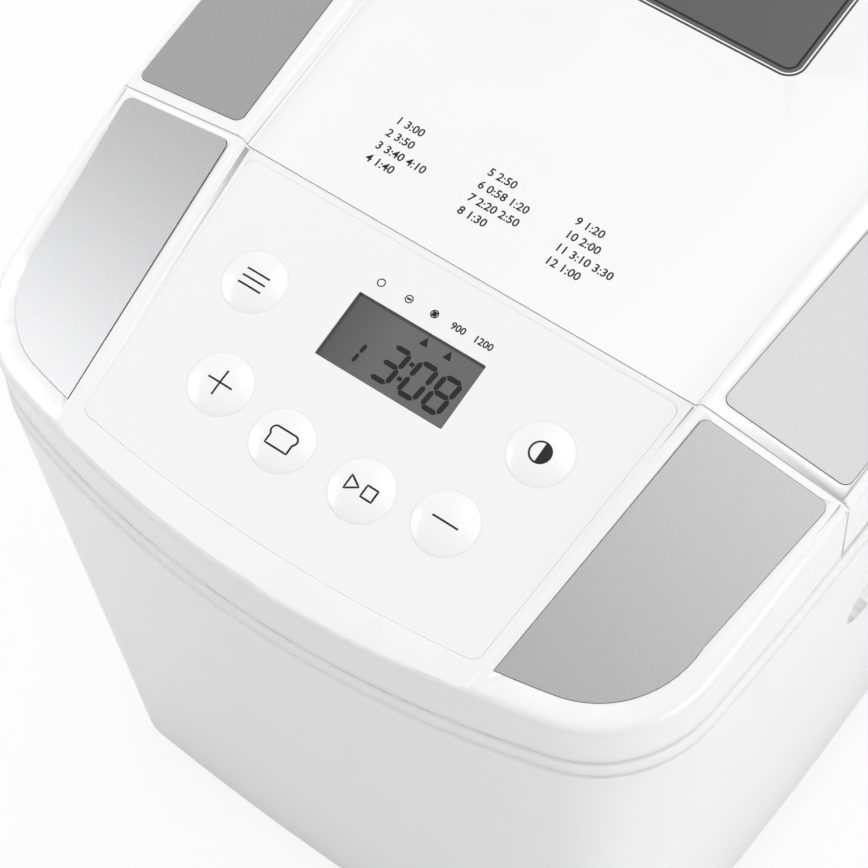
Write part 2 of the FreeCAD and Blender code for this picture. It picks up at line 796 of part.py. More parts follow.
def on_wall(edge):
    """True where the middle of an edge lies on the outer wall of the deck or lid."""
    if cap_wire[0] is None:
        path = top_plan(cap_in)
        arcs = [Part.Arc(V(*a, 0), V(*m, 0), V(*b, 0)).toShape()
                for a, (m, b) in zip([path[0]] + [p[1] for p in path[1:]], path[1:])]
        cap_wire[0] = Part.Wire(arcs)
    spot = edge.valueAt((edge.FirstParameter + edge.LastParameter) / 2)
    return cap_wire[0].distToShape(Part.Vertex(V(spot.x, spot.y, 0)))[0] < 0.02


def cap_block(label, inset, bottom, front_cut, back_cut, lower, sections, rim=None):
    """Block of a deck or lid: plan raised to the roof, cut at the seam, wings cut, rim rounded, channel cut."""
    body = new_body(label)
    plan = draw(new_sketch(body, "XY_Plane", bottom), top_plan(cap_in + inset))
    pad(body, plan, f"{roof_high} - ({bottom})")
    far = 2 * S.body_back
    away = new_sketch(body, "XY_Plane", bottom)
    if back_cut is not None:
        draw(away, [(-far, back_cut), (far, back_cut), (far, far), (-far, far)])
    else:
        draw(away, [(-far, -far), (far, -far), (far, front_cut), (-far, front_cut)])
    pocket(body, away, f"{roof_high} - ({bottom})", reverse=True)
    cut_roof(body, plateau, lower, sections)
    if rim is not None:
        round_rim(body, rim)
    cut_roof(body, channel, lower, sections)
    return body


def cut_roof(body, outline, lower, sections):
    """Cut away the space above the roof, between its two end sections."""
    ends = []
    for y, crease, rise, level in sections:
        ends.append(draw(new_sketch(body, "XZ_Plane", str(-y)), outline(crease, rise, level - lower)))
    loft(body, "SubtractiveLoft", *ends)


def key_spots():
    """Names and places of the six keys on the panel."""
    rows = (("menu_key", "crust_key", S.upper_key_x, S.upper_key_v),
            ("plus_key", "minus_key", S.sign_key_x, S.sign_key_v),
            ("loaf_key", "start_key", S.lower_key_x, S.lower_key_v))
    for left, right, x, v in rows:
        yield left, -x, -v
        yield right, x, -v


def overlay_path(grow=0.0):
    """Outline of the panel film: straight back and sides, bowed front, small corners."""
    r = S.overlay_round
    back, front = -S.overlay_back + grow, -S.overlay_front - grow
    xb, xf = S.overlay_back_half + grow, S.overlay_front_half + grow
    lean = (xb - xf) / (back - front)
    cut = r * (1 - math.sqrt(0.5))
    right = [(xb - r, back), ((xb - cut, back - cut), (xb - lean * r, back - r)),
             (xf + lean * r, front + r), ((xf - cut * 0.6, front + cut), (xf - r, front - r * 0.1))]
    return [(-(xb - r), back), *right,
            ((0, front - S.overlay_bow), (-(xf - r), front - r * 0.1)),
            ((-(xf - cut * 0.6), front + cut), (-(xf + lean * r), front + r)),
            (-(xb - lean * r), back - r), ((-(xb - cut), back - cut), (-(xb - r), back))]


# Top deck: control housing in front, tray round the oven mouth, hinge ears at the back

hinge_z = S.line_top + (cap_back - S.hinge_y) + 0.6
board_spots = [(i * (S.board_half_x - 5), -v) for i in (-1, 1) for v in (S.board_back + 6, S.board_front - 6)]


def top_deck():
    sections = ((S.seam_y, S.crease_seam, S.step_rise, S.lid_top),
                (-front_plane, S.crease_front, S.step_rise_front, deck_front_level))
    rear = S.seam_y - S.seam_gap
    outer = cap_block("deck_outer", 0.0, "sizes.line_top", None, rear, 0.0, sections, "sizes.rim_round")
    film = draw(new_sketch(outer, "XY_Plane", offset=panel), overlay_path(S.film_gap))
    pocket(outer, film, "sizes.film")
    cut_inlay_seats(outer, deck_wing, front_inlay_plan(S.inlay_gap))
    openings = new_sketch(outer, "XY_Plane", offset=panel)
    for _, x, v in key_spots():
        circle(openings, x, v, "sizes.key_radius + sizes.key_gap")
    draw(openings, rounded(0, -S.lcd_v, S.lcd_half_x + S.film_gap, S.lcd_half_v + S.film_gap, 0.5))
    pocket(outer, openings, "sizes.skin * 3")
    core = cap_block("deck_core", S.skin, "sizes.line_top", None, rear - S.skin, S.skin, sections)
    shell = combine("Part::Cut", "deck_shell", outer, core)

    tray = new_body("deck_tray")
    plan = new_sketch(tray, "XY_Plane", "sizes.line_top - sizes.tray_thick")
    pad(tray, draw(plan, top_plan(tray_inset)), "sizes.tray_thick")
    mouth = new_sketch(tray, "XY_Plane", "sizes.line_top - sizes.tray_thick")
    draw(mouth, rounded(0, S.pan_y, S.chamber_half_x - S.sheet, S.chamber_half_y - S.sheet,
                        S.chamber_round - S.sheet))
    well_front, well_back = -S.body_front + 24, rear - S.skin - 4
    draw(mouth, rounded(0, (well_front + well_back) / 2, S.body_half - S.well_in, (well_back - well_front) / 2, 8))
    pocket(tray, mouth, "sizes.tray_thick", reverse=True)

    ears = new_body("deck_ears")
    for side in (1, -1):
        ear = new_sketch(ears, "YZ_Plane", f"{side} * sizes.hinge_x - sizes.ear_wide / 2")
        r, y = S.ear_radius, S.hinge_y
        draw(ear, [(y - r, S.line_top - 1), (y + r / 3, S.line_top - 1), (y + r / 3, S.line_top), (y + r, S.line_top),
                   (y + r, hinge_z), ((y, hinge_z + r), (y - r, hinge_z))])
        pad(ears, ear, "sizes.ear_wide")
        bore = new_sketch(ears, "YZ_Plane", f"{side} * sizes.hinge_x - sizes.ear_wide / 2")
        circle(bore, y, hinge_z, "sizes.pin_radius + sizes.running")
        pocket(ears, bore, "sizes.ear_wide", reverse=True)

    bosses = new_body("deck_bosses")
    bosses.Placement = panel
    rings = new_sketch(bosses, "XY_Plane", "-sizes.board_drop")
    for x, v in board_spots:
        circle(rings, x, v, "sizes.post_radius")
    pad(bosses, rings, "sizes.board_drop - sizes.skin / 2")
    return keep(combine("Part::MultiFuse", "top_deck", shell, tray, ears, bosses))


# Control panel: film, display, board, switches and keys

def panel_body(label):
    """Body laid on the sloping panel, x to the right, y away from the user, z outwards."""
    body = new_body(label)
    body.Placement = panel
    return body


def control_panel():
    film = panel_body("control_overlay")
    plan = draw(new_sketch(film, "XY_Plane", "-sizes.film"), overlay_path())
    for _, x, v in key_spots():
        circle(plan, x, v, "sizes.key_radius + sizes.key_gap")
    draw(plan, rounded(0, -S.lcd_v, S.lcd_half_x + S.film_gap, S.lcd_half_v + S.film_gap, 0.5))
    pad(film, plan, "sizes.film")
    keep(film)

    lens = panel_body("lcd_lens")
    plan = new_sketch(lens, "XY_Plane", "-sizes.lens_sink - sizes.lens_thick")
    pad(lens, draw(plan, rounded(0, -S.lcd_v, S.lcd_half_x, S.lcd_half_v, 0.4)), "sizes.lens_thick")
    keep(lens)

    module = panel_body("lcd_module")
    plan = new_sketch(module, "XY_Plane", "-sizes.board_drop")
    draw(plan, rounded(0, -S.lcd_v, S.lcd_half_x + 4, S.lcd_half_v + 4, 1))
    pad(module, plan, "sizes.board_drop - sizes.skin - sizes.fit_gap")
    view = new_sketch(module, "XY_Plane", "-sizes.skin - sizes.fit_gap")
    draw(view, rounded(0, -S.lcd_v, S.lcd_half_x, S.lcd_half_v, 0.4))
    pocket(module, view, "sizes.lens_thick")
    keep(module)

    board = panel_body("control_board")
    plan = new_sketch(board, "XY_Plane", "-sizes.board_drop - sizes.board_thick")
    middle = -(S.board_back + S.board_front) / 2
    draw(plan, rounded(0, middle, S.board_half_x, (S.board_front - S.board_back) / 2, 3))
    pad(board, plan, "sizes.board_thick")
    keep(board)

    switches = []
    for name, x, v in key_spots():
        switch = panel_body("switch_" + name)
        plan = new_sketch(switch, "XY_Plane", "-sizes.board_drop")
        pad(switch, draw(plan, rounded(x, v, S.switch_half, S.switch_half, 0.5)), "sizes.switch_tall - 1")
        plunger = new_sketch(switch, "XY_Plane", "-sizes.board_drop")
        pad(switch, circle(plunger, x, v, "sizes.key_stem / 2"), "sizes.switch_tall")
        switches.append(switch.Shape)
    group("key_switches", switches)

    stem_end = -S.board_drop + S.switch_tall + S.key_travel + 0.2
    r = S.key_radius
    dome = (r * r + (S.key_dome - S.key_edge) ** 2) / (2 * (S.key_dome - S.key_edge))
    mid_z = S.key_dome - dome + math.sqrt(dome ** 2 - (r / 2) ** 2)
    for name, x, v in key_spots():
        key = panel_body(name)
        profile = [(0, stem_end), (S.key_stem, stem_end), (S.key_stem, -S.skin), (r, -S.skin),
                   (r, S.key_edge), ((r / 2, mid_z), (0, S.key_dome))]
        revolve(key, draw(new_sketch(key, "XZ_Plane"), profile))
        key.Placement = panel.multiply(FreeCAD.Placement(V(x, v, 0), FreeCAD.Rotation()))
        doc.recompute()
        keep(key)


# Lid: shell with window seat, inlay seats and hinge bosses

frame_deep = S.glass + S.gasket + S.skin
window_mid = (S.window_front + S.window_back) / 2
window_half_y = (S.window_back - S.window_front) / 2
liner_z = S.line_top + S.liner_lift
lid_screw_spots = [(i * S.lid_screw_x, y) for i in (-1, 1) for y in (S.lid_screw_front, S.lid_screw_back)]


def window_path(grow=0.0):
    """Outline of the window, grown or shrunk."""
    return rounded(0, window_mid, S.window_half_x + grow, window_half_y + grow,
                   max(S.window_round + grow, 1.0))


def wing_height(x, y):
    """Height of the lid's wing over a plan point."""
    n = lid_wing.Rotation.multVec(V(0, 0, 1))
    return lid_wing.Base.z - (n.x * (abs(x) - lid_wing.Base.x) + n.y * (y - lid_wing.Base.y)) / n.z


def lid_shell():
    sections = ((S.seam_y, S.crease_seam, S.step_rise, S.lid_top),
                (back_plane, S.crease_back, S.step_rise, S.lid_top))
    bottom = "sizes.line_top + sizes.lid_gap"
    outer = cap_block("lid_outer", 0.0, bottom, S.seam_y, None, 0.0, sections, "sizes.rim_round")
    far = 2 * S.body_half
    notch = new_sketch(outer, "YZ_Plane", str(-far))
    draw(notch, [(S.hinge_y, 0), (far, 0), (far, hinge_z + 0.5), (S.hinge_y, hinge_z + 0.5)])
    pocket(outer, notch, str(2 * far), reverse=True)
    cut_inlay_seats(outer, lid_wing, lid_inlay_plan(S.inlay_gap))
    steam = new_sketch(outer, "XY_Plane", "sizes.lid_top")
    for i in range(int(S.steam_count)):
        x = (i - (S.steam_count - 1) / 2) * S.steam_slot * 3
        draw(steam, rounded(x, S.window_back + 24, S.steam_slot / 2, S.steam_slot * 3, S.steam_slot * 0.49))
    pocket(outer, steam, "sizes.skin * 3")
    core = cap_block("lid_core", S.skin, "sizes.line_top", S.seam_y + S.skin, None, S.skin, sections)
    shell = combine("Part::Cut", "lid_hollow", outer, core)

    frame = new_body("window_frame")
    plan = new_sketch(frame, "XY_Plane", f"sizes.lid_top - {frame_deep}")
    pad(frame, draw(plan, window_path(S.skin)), f"{frame_deep} - sizes.skin / 2")

    ears = new_body("lid_bosses")
    edges = (S.ear_wide / 2 + S.hinge_gap, -S.ear_wide / 2 - S.hinge_gap - S.boss_wide)
    for x in [side * S.hinge_x + edge for side in (1, -1) for edge in edges]:
        knuckle = new_sketch(ears, "YZ_Plane", str(x))
        r, y = S.ear_radius, S.hinge_y
        draw(knuckle, [(y - r, S.lid_top - 1), (y - r, hinge_z), ((y, hinge_z - r), (y + r, hinge_z)),
                       (y + r * 0.4, S.lid_top - 1)])
        pad(ears, knuckle, "sizes.boss_wide")
        bore = new_sketch(ears, "YZ_Plane", str(x))
        pocket(ears, circle(bore, y, hinge_z, "sizes.pin_radius"), "sizes.boss_wide", reverse=True)

    posts = new_body("lid_posts")
    for x, y in lid_screw_spots:
        ring = new_sketch(posts, "XY_Plane", f"{liner_z} + sizes.liner_thick")
        pad(posts, circle(ring, x, y, "sizes.lid_boss"), str(wing_height(x, y) - S.skin + 0.4 - liner_z - S.liner_thick))
    whole = combine("Part::MultiFuse", "lid_whole", shell, frame, ears, posts)

    space = new_body("lid_space")
    seat = new_sketch(space, "XY_Plane", "sizes.lid_top - sizes.glass - sizes.gasket")
    pad(space, draw(seat, window_path(S.pane_gap)), "sizes.glass + sizes.gasket + sizes.skin")
    view = new_sketch(space, "XY_Plane", f"sizes.lid_top - {frame_deep} - 1")
    pad(space, draw(view, window_path(-S.window_lip)), f"{frame_deep} + 1")
    for side in (1, -1):
        gap = new_sketch(space, "XY_Plane", "sizes.line_top")
        x, half = side * S.hinge_x, S.ear_wide / 2 + S.hinge_gap
        draw(gap, rounded(x, S.hinge_y, half, S.ear_radius + 6, 0.5))
        pad(space, gap, f"{hinge_z} + sizes.ear_radius + 1.5 - sizes.line_top")
    for x, y in lid_screw_spots:
        pilot = new_sketch(space, "XY_Plane", str(liner_z))
        pad(space, circle(pilot, x, y, "sizes.screw_radius + sizes.screw_gap"), "sizes.screw_long + 4")
    return keep(combine("Part::Cut", "lid_shell", whole, space))


def lid_fittings():
    glass = new_body("lid_window")
    plan = new_sketch(glass, "XY_Plane", "sizes.lid_top - sizes.glass")
    pad(glass, draw(plan, window_path()), "sizes.glass")
    top = [f"Edge{i}" for i, e in enumerate(glass.Shape.Edges, start=1)
           if e.BoundBox.ZMin > S.lid_top - 0.01]
    pane = glass.Tip
    bevel = glass.newObject("PartDesign::Chamfer", "bevel")
    bevel.Base = (pane, top)
    bevel.setExpression("Size", "sizes.pane_bevel")
    doc.recompute()
    keep(glass)

    gasket = new_body("window_gasket")
    plan = new_sketch(gasket, "XY_Plane", "sizes.lid_top - sizes.glass - sizes.gasket")
    draw(plan, window_path())
    draw(plan, window_path(-S.window_lip))
    pad(gasket, plan, "sizes.gasket")
    keep(gasket)

    liner = new_body("lid_liner")
    inset = cap_in + S.skin + S.fit_gap
    plan = draw(new_sketch(liner, "XY_Plane", str(liner_z)), top_plan(inset))
    pad(liner, plan, "sizes.liner_thick")
    far = 2 * S.body_back
    ends = new_sketch(liner, "XY_Plane", str(liner_z))
    front = S.seam_y + S.skin + S.fit_gap
    draw(ends, [(-far, -far), (far, -far), (far, front), (-far, front)])
    draw(ends, [(-far, S.liner_back), (far, S.liner_back), (far, far), (-far, far)])
    pocket(liner, ends, "sizes.liner_thick", reverse=True)
    collar = draw(new_sketch(liner, "XY_Plane", str(liner_z)), window_path(-S.window_lip + S.liner_thick))
    pad(liner, collar, f"sizes.lid_top - {frame_deep} - {liner_z}")
    holes = draw(new_sketch(liner, "XY_Plane", str(liner_z)), window_path(-S.window_lip))
    for x, y in lid_screw_spots:
        circle(holes, x, y, "sizes.screw_radius + sizes.screw_gap")
    pocket(liner, holes, f"sizes.lid_top - {frame_deep} - {liner_z}", reverse=True)
    keep(liner)

    seal = new_body("lid_seal")
    plan = new_sketch(seal, "XY_Plane", "sizes.line_top + sizes.seal_gap")
    for grow in (S.seal_wide, 0.0):
        draw(plan, rounded(0, S.pan_y, S.chamber_half_x + grow, S.chamber_half_y + grow,
                           S.chamber_round + grow))
    pad(seal, plan, "sizes.liner_lift - sizes.seal_gap")
    keep(seal)

    pins = []
    long = S.ear_wide + 2 * (S.hinge_gap + S.boss_wide)
    for side in (1, -1):
        start = V(side * S.hinge_x - long / 2, S.hinge_y, hinge_z)
        pins.append(Part.makeCylinder(S.pin_radius, long, start, V(1, 0, 0)))
    group("hinge_pins", pins)

    screw = turned("lid_screw", screw_profile(liner_z - S.screw_head_tall + S.screw_gap))
    group("lid_screws", [screw.Shape.translated(V(x, y, 0)) for x, y in lid_screw_spots])


# Oven chamber with heater, probe, fuse and pan socket

chamber_front = S.pan_y - S.chamber_half_y
chamber_top = S.line_top - S.tray_thick
oven_floor = S.chamber_floor + S.sheet


def oven_chamber():
    body = new_body("oven_chamber")
    half_x, half_y, r = S.chamber_half_x, S.chamber_half_y, S.chamber_round
    plan = new_sketch(body, "XY_Plane", "sizes.chamber_floor")
    pad(body, draw(plan, rounded(0, S.pan_y, half_x, half_y, r)), f"{chamber_top} - sizes.chamber_floor")
    rim = new_sketch(body, "XY_Plane", f"{chamber_top} - sizes.sheet")
    draw(rim, rounded(0, S.pan_y, half_x + S.flange, half_y + S.flange, r + S.flange))
    pad(body, rim, "sizes.sheet")
    inside = new_sketch(body, "XY_Plane", str(chamber_top))
    draw(inside, rounded(0, S.pan_y, half_x - S.sheet, half_y - S.sheet, r - S.sheet))
    pocket(body, inside, f"{chamber_top} - sizes.chamber_floor - sizes.sheet")
    hole = new_sketch(body, "XY_Plane", "sizes.chamber_floor")
    pocket(body, circle(hole, 0, S.pan_y, "sizes.bush_radius + sizes.fit_gap"), "sizes.sheet", reverse=True)
    front = new_sketch(body, "XZ_Plane", str(-chamber_front - 2))
    for x in (-S.heater_leg_x, S.heater_leg_x):
        circle(front, x, S.heater_z, "sizes.heater_radius + sizes.fit_gap")
    circle(front, S.probe_x, S.probe_z, "sizes.probe_radius + sizes.fit_gap")
    pocket(body, front, "4", reverse=True)
    return keep(body)


def heating_element():
    body = new_body("heating_element")
    half_x, r, leg = S.heater_half_x, S.heater_bend, S.heater_leg_x
    near, farther = S.pan_y - S.heater_half_y, S.pan_y + S.heater_half_y
    small, start = S.heater_leg_bend, chamber_front - S.heater_out
    cut, cut_small = r * (1 - math.sqrt(0.5)), small * (1 - math.sqrt(0.5))
    left = [
        (-leg, start), (-leg, near - small),
        ((-leg - cut_small, near - cut_small), (-leg - small, near)), (-half_x + r, near),
        ((-half_x + cut, near + cut), (-half_x, near + r)), (-half_x, farther - r),
        ((-half_x + cut, farther - cut), (-half_x + r, farther)),
    ]
    right = [
        (half_x - r, farther), ((half_x - cut, farther - cut), (half_x, farther - r)),
        (half_x, near + r), ((half_x - cut, near + cut), (half_x - r, near)), (leg + small, near),
        ((leg + cut_small, near - cut_small), (leg, near - small)), (leg, start),
    ]
    spine = draw(new_sketch(body, "XY_Plane", "sizes.heater_z"), left + right, closed=False)
    section = new_sketch(body, "XZ_Plane", str(-start))
    circle(section, -leg, S.heater_z, "sizes.heater_radius")
    tube = body.newObject("PartDesign::AdditivePipe", "tube")
    tube.Profile = section
    tube.Spine = spine
    doc.recompute()
    keep(body)

    clips = []
    tall = S.heater_z - S.heater_radius - 0.25 - oven_floor
    for x, y in ((-half_x, S.pan_y), (half_x, S.pan_y), (-half_x / 2, farther), (half_x / 2, farther)):
        clips.append(Part.makeBox(8, 8, 1.5, V(x - 4, y - 4, oven_floor)).fuse(
            Part.makeBox(8, 2, tall, V(x - 4, y - 1, oven_floor))).removeSplitter())
    group("element_clips", clips)


def chamber_fittings():
    r = S.probe_radius
    probe = turned("temperature_probe", [(0, -20), (r - 1, -20), (r, -19), (r, 2), (r * 2, 2), (r * 2, 5),
                                         (r, 5), (r, 12), (0, 12)])
    turn = FreeCAD.Rotation(V(1, 0, 0), 90)
    probe.Placement = FreeCAD.Placement(V(S.probe_x, chamber_front + 2, S.probe_z), turn)
    keep(probe)

    plate = doc.addObject("Part::Box", "fuse_plate")
    plate.setExpression("Length", "sizes.fuse_long + 8")
    plate.setExpression("Width", "sizes.sheet")
    plate.setExpression("Height", "sizes.fuse_radius * 3")
    plate.Placement.Base = V(-S.probe_x - S.fuse_long / 2 - 4, chamber_front - S.sheet, S.fuse_z - S.fuse_radius * 1.5)
    can = doc.addObject("Part::Cylinder", "fuse_can")
    can.setExpression("Radius", "sizes.fuse_radius")
    can.setExpression("Height", "sizes.fuse_long")
    can.Placement = FreeCAD.Placement(
        V(-S.probe_x - S.fuse_long / 2, chamber_front - S.fuse_radius - S.sheet * 0.7, S.fuse_z),
        FreeCAD.Rotation(V(0, 1, 0), 90))
    keep(combine("Part::MultiFuse", "thermal_fuse", plate, can))

    inner = S.pan_ring + S.fit_gap
    outer = inner + S.socket_wall
    top = oven_floor + S.socket_tall
    keep(turned("pan_socket", [(inner, oven_floor), (outer + 5, oven_floor), (outer + 5, oven_floor + 1.5),
                               (outer, oven_floor + 1.5), (outer, top - 1), (outer - 1, top),
                               (inner + 1, top), (inner, top - 1)], 0, S.pan_y))


# Bread pan, its base ring, bush, ears and bail

def bread_pan():
    body = new_body("bread_pan")

    def section(z, half_x, half_y, corner, inset):
        return draw(new_sketch(body, "XY_Plane", z),
                    rounded(0, S.pan_y, half_x - inset, half_y - inset, corner - inset))

    base = (S.pan_base_half_x, S.pan_base_half_y, S.pan_base_round)
    top = (S.pan_half_x, S.pan_half_y, S.pan_round)
    loft(body, "AdditiveLoft", section("sizes.pan_floor", *base, 0), section("sizes.pan_rim", *top, 0))
    lip = section("sizes.pan_rim - sizes.pan_lip_thick", *top, -S.pan_lip)
    pad(body, lip, "sizes.pan_lip_thick")
    loft(body, "SubtractiveLoft", section("sizes.pan_floor + sizes.pan_wall", *base, S.pan_wall),
         section("sizes.pan_rim", *top, S.pan_wall))
    hole = new_sketch(body, "XY_Plane", "sizes.pan_floor")
    pocket(body, circle(hole, 0, S.pan_y, "sizes.bush_radius"), "sizes.pan_wall", reverse=True)
    return keep(body)


def pan_fittings(pan):
    outer, inner = S.pan_ring, S.pan_ring - S.pan_ring_wall
    low = oven_floor + 2
    keep(turned("pan_base", [(inner, low), (outer - 1, low), (outer, low + 1), (outer, S.pan_floor),
                             (inner, S.pan_floor)], 0, S.pan_y))
    bore = S.shaft_radius + S.running
    keep(turned("pan_bush", [(bore, S.pan_floor - 2), (S.bush_flange, S.pan_floor - 2), (S.bush_flange, S.pan_floor),
                             (S.bush_radius, S.pan_floor), (S.bush_radius, S.pan_floor + S.pan_wall + 0.4),
                             (bore, S.pan_floor + S.pan_wall + 0.4)], 0, S.pan_y))
    ears = []
    thick = S.ear_out
    for side in (1, -1):
        wall_x = S.pan_half_x - 2
        block = Part.makeBox(thick + 2, 2 * S.ear_half_y, 2 * S.ear_half_z,
                             V(wall_x, S.pan_y - S.ear_half_y, S.bail_z - S.ear_half_z))
        upright = [e for e in block.Edges if e.BoundBox.XLength > 1]
        block = block.makeFillet(S.ear_half_z * 0.5, upright)
        hole = Part.makeCylinder(S.bail_radius + S.running, thick + 4, V(wall_x, S.pan_y, S.bail_z), V(1, 0, 0))
        ear = block.cut(hole).cut(pan_envelope())
        ears.append(ear if side > 0 else ear.mirror(V(0, 0, 0), V(1, 0, 0)))
    group("pan_ears", ears)

    bail = new_body("pan_handle")
    x, reach, r = S.bail_x, S.bail_reach, S.bail_bend
    inner_x = S.pan_half_x + 1
    small = S.bail_x - S.pan_half_x - S.ear_out - 0.4
    cut, cut_small = r * (1 - math.sqrt(0.5)), small * (1 - math.sqrt(0.5))
    half = [
        ((x - cut_small, S.pan_y + cut_small), (x, S.pan_y + small)), (x, S.pan_y + reach - r),
        ((x - cut, S.pan_y + reach - cut), (x - r, S.pan_y + reach)), (-x + r, S.pan_y + reach),
        ((-x + cut, S.pan_y + reach - cut), (-x, S.pan_y + reach - r)), (-x, S.pan_y + small),
        ((-x + cut_small, S.pan_y + cut_small), (-x + small, S.pan_y)), (-inner_x, S.pan_y),
    ]
    spine = new_sketch(bail, "XY_Plane", "sizes.bail_z")
    draw(spine, [(inner_x, S.pan_y), (x - small, S.pan_y)] + half, closed=False)
    section = new_sketch(bail, "YZ_Plane", str(inner_x))
    circle(section, S.pan_y, S.bail_z, "sizes.bail_radius")
    wire = bail.newObject("PartDesign::AdditivePipe", "wire")
    wire.Profile = section
    wire.Spine = spine
    doc.recompute()
    keep(bail)


def pan_envelope():
    """Outer form of the pan as one solid, for seating the ears on its tapered wall."""
    loops = []
    for z, half_x, half_y, corner in ((S.pan_floor, S.pan_base_half_x, S.pan_base_half_y, S.pan_base_round),
                                      (S.pan_rim, S.pan_half_x, S.pan_half_y, S.pan_round)):
        path = rounded(0, S.pan_y, half_x, half_y, corner)
        edges = []
        here = path[0]
        for step in path[1:]:
            if isinstance(step[0], tuple):
                edges.append(Part.Arc(V(*here, z), V(*step[0], z), V(*step[1], z)).toShape())
                here = step[1]
            else:
                edges.append(Part.LineSegment(V(*here, z), V(*step, z)).toShape())
                here = step
        loops.append(Part.Wire(edges))
    return Part.makeLoft(loops, True, True)


# Paddle and its shaft, coupling dogs, drive shaft and pulleys

paddle_low = S.pan_floor + S.pan_wall + S.paddle_lift
dog_z = oven_floor + 1.2
dog_top = dog_z + 3.5
shaft_low = S.pulley_z - 4


def kneading_paddle():
    body = new_body("kneading_paddle")
    hub = new_sketch(body, "XY_Plane", str(paddle_low))
    pad(body, circle(hub, 0, 0, "sizes.paddle_hub"), "sizes.paddle_tall * 0.8")
    blade = new_sketch(body, "XZ_Plane", "-sizes.paddle_thick / 2")
    reach, tall, low = S.paddle_reach, S.paddle_tall, paddle_low
    draw(blade, [(0, low), (reach * 0.9, low), ((reach, low + tall * 0.14), (reach * 0.98, low + tall * 0.3)),
                 ((reach * 0.72, low + tall * 0.86), (reach * 0.3, low + tall)),
                 ((reach * 0.1, low + tall), (0, low + tall * 0.8))])
    pad(body, blade, "sizes.paddle_thick")
    bore = new_sketch(body, "XY_Plane", str(paddle_low))
    pocket(body, circle(bore, 0, 0, "sizes.shaft_radius + sizes.running"), "sizes.paddle_tall * 2", reverse=True)
    body.Placement.Base = V(0, S.pan_y, 0)
    doc.recompute()
    return keep(body)


def drive_line():
    r = S.shaft_radius
    top = paddle_low + S.paddle_tall * 0.8 - 1
    keep(turned("pan_shaft", [(0, dog_top + 1), (r, dog_top + 1), (r, top - 1), (r - 1, top), (0, top)], 0, S.pan_y))

    bar = new_body("pan_coupling")
    plan = new_sketch(bar, "XY_Plane", str(dog_top + 1))
    draw(plan, rounded(0, 0, S.dog_wide / 2 + 2, S.dog_radius, 2))
    circle(plan, 0, 0, "sizes.shaft_radius")
    pad(bar, plan, "sizes.dog_tall")
    bar.Placement.Base = V(0, S.pan_y, 0)
    doc.recompute()
    keep(bar)

    dog = new_body("drive_dog")
    disc = new_sketch(dog, "XY_Plane", str(dog_z))
    circle(disc, 0, 0, "sizes.dog_radius")
    circle(disc, 0, 0, "sizes.shaft_radius")
    pad(dog, disc, f"{dog_top} - {dog_z}")
    lugs = new_sketch(dog, "XY_Plane", str(dog_z))
    for side in (1, -1):
        draw(lugs, rounded(side * (S.dog_radius - 2.5), 0, 2, S.dog_wide / 2, 0.6))
    pad(dog, lugs, f"{dog_top} - {dog_z} + sizes.dog_tall")
    dog.Placement.Base = V(0, S.pan_y, 0)
    doc.recompute()
    keep(dog)

    keep(turned("drive_shaft", [(0, shaft_low), (r - 0.6, shaft_low), (r, shaft_low + 0.6), (r, dog_top), (0, dog_top)],
                0, S.pan_y))
    bore = r + S.running
    seat = S.chassis_z + S.chassis_thick
    low, high = S.pulley_z + S.pulley_tall + 0.4, oven_floor + 0.6
    keep(turned("drive_bearing", [(bore, low), (S.bush_radius - 1, low), (S.bush_radius - 1, seat),
                                  (S.bush_flange, seat), (S.bush_flange, seat + 3), (S.bush_radius, seat + 3),
                                  (S.bush_radius, high), (bore, high)], 0, S.pan_y))

    keep(pulley("large_pulley", S.pulley_radius, 0, S.pan_y, 5))
    keep(pulley("motor_pulley", S.motor_pulley_radius, S.motor_x, S.motor_y, 0))
    ring = S.pulley_z - 0.2
    keep(turned("shaft_ring", [(r, ring - 1.4), (r + 2.6, ring - 1.4), (r + 2.6, ring), (r, ring)], 0, S.pan_y))


def pulley(label, radius, x, y, holes):
    """Flanged belt pulley with a hub; a large one has a thin web with lightening holes."""
    low, high = S.pulley_z, S.pulley_z + S.pulley_tall
    rim, lip, bore, hub = S.pulley_rim, radius + S.pulley_flange, S.shaft_radius, S.shaft_radius * 2.2
    tread = [(lip, low), (lip, low + rim), (radius, low + rim), (radius, high - rim), (lip, high - rim), (lip, high)]
    if not holes:
        return turned(label, [(bore, low), *tread, (bore, high)], x, y)
    deep, web = radius - 5, low + S.pulley_tall / 2
    body = turned(label, [(bore, low), (hub, low), (hub, web - 1.5), (deep, web - 1.5), (deep, low), *tread,
                          (deep, high), (deep, web + 1.5), (hub, web + 1.5), (hub, high), (bore, high)], x, y)
    cuts = new_sketch(body, "XY_Plane", str(low))
    for i in range(holes):
        turn = 2 * math.pi * i / holes
        middle = (hub + deep) / 2
        circle(cuts, middle * math.cos(turn), middle * math.sin(turn), "sizes.pulley_radius / 5")
    pocket(body, cuts, "sizes.pulley_tall", reverse=True)
    return body


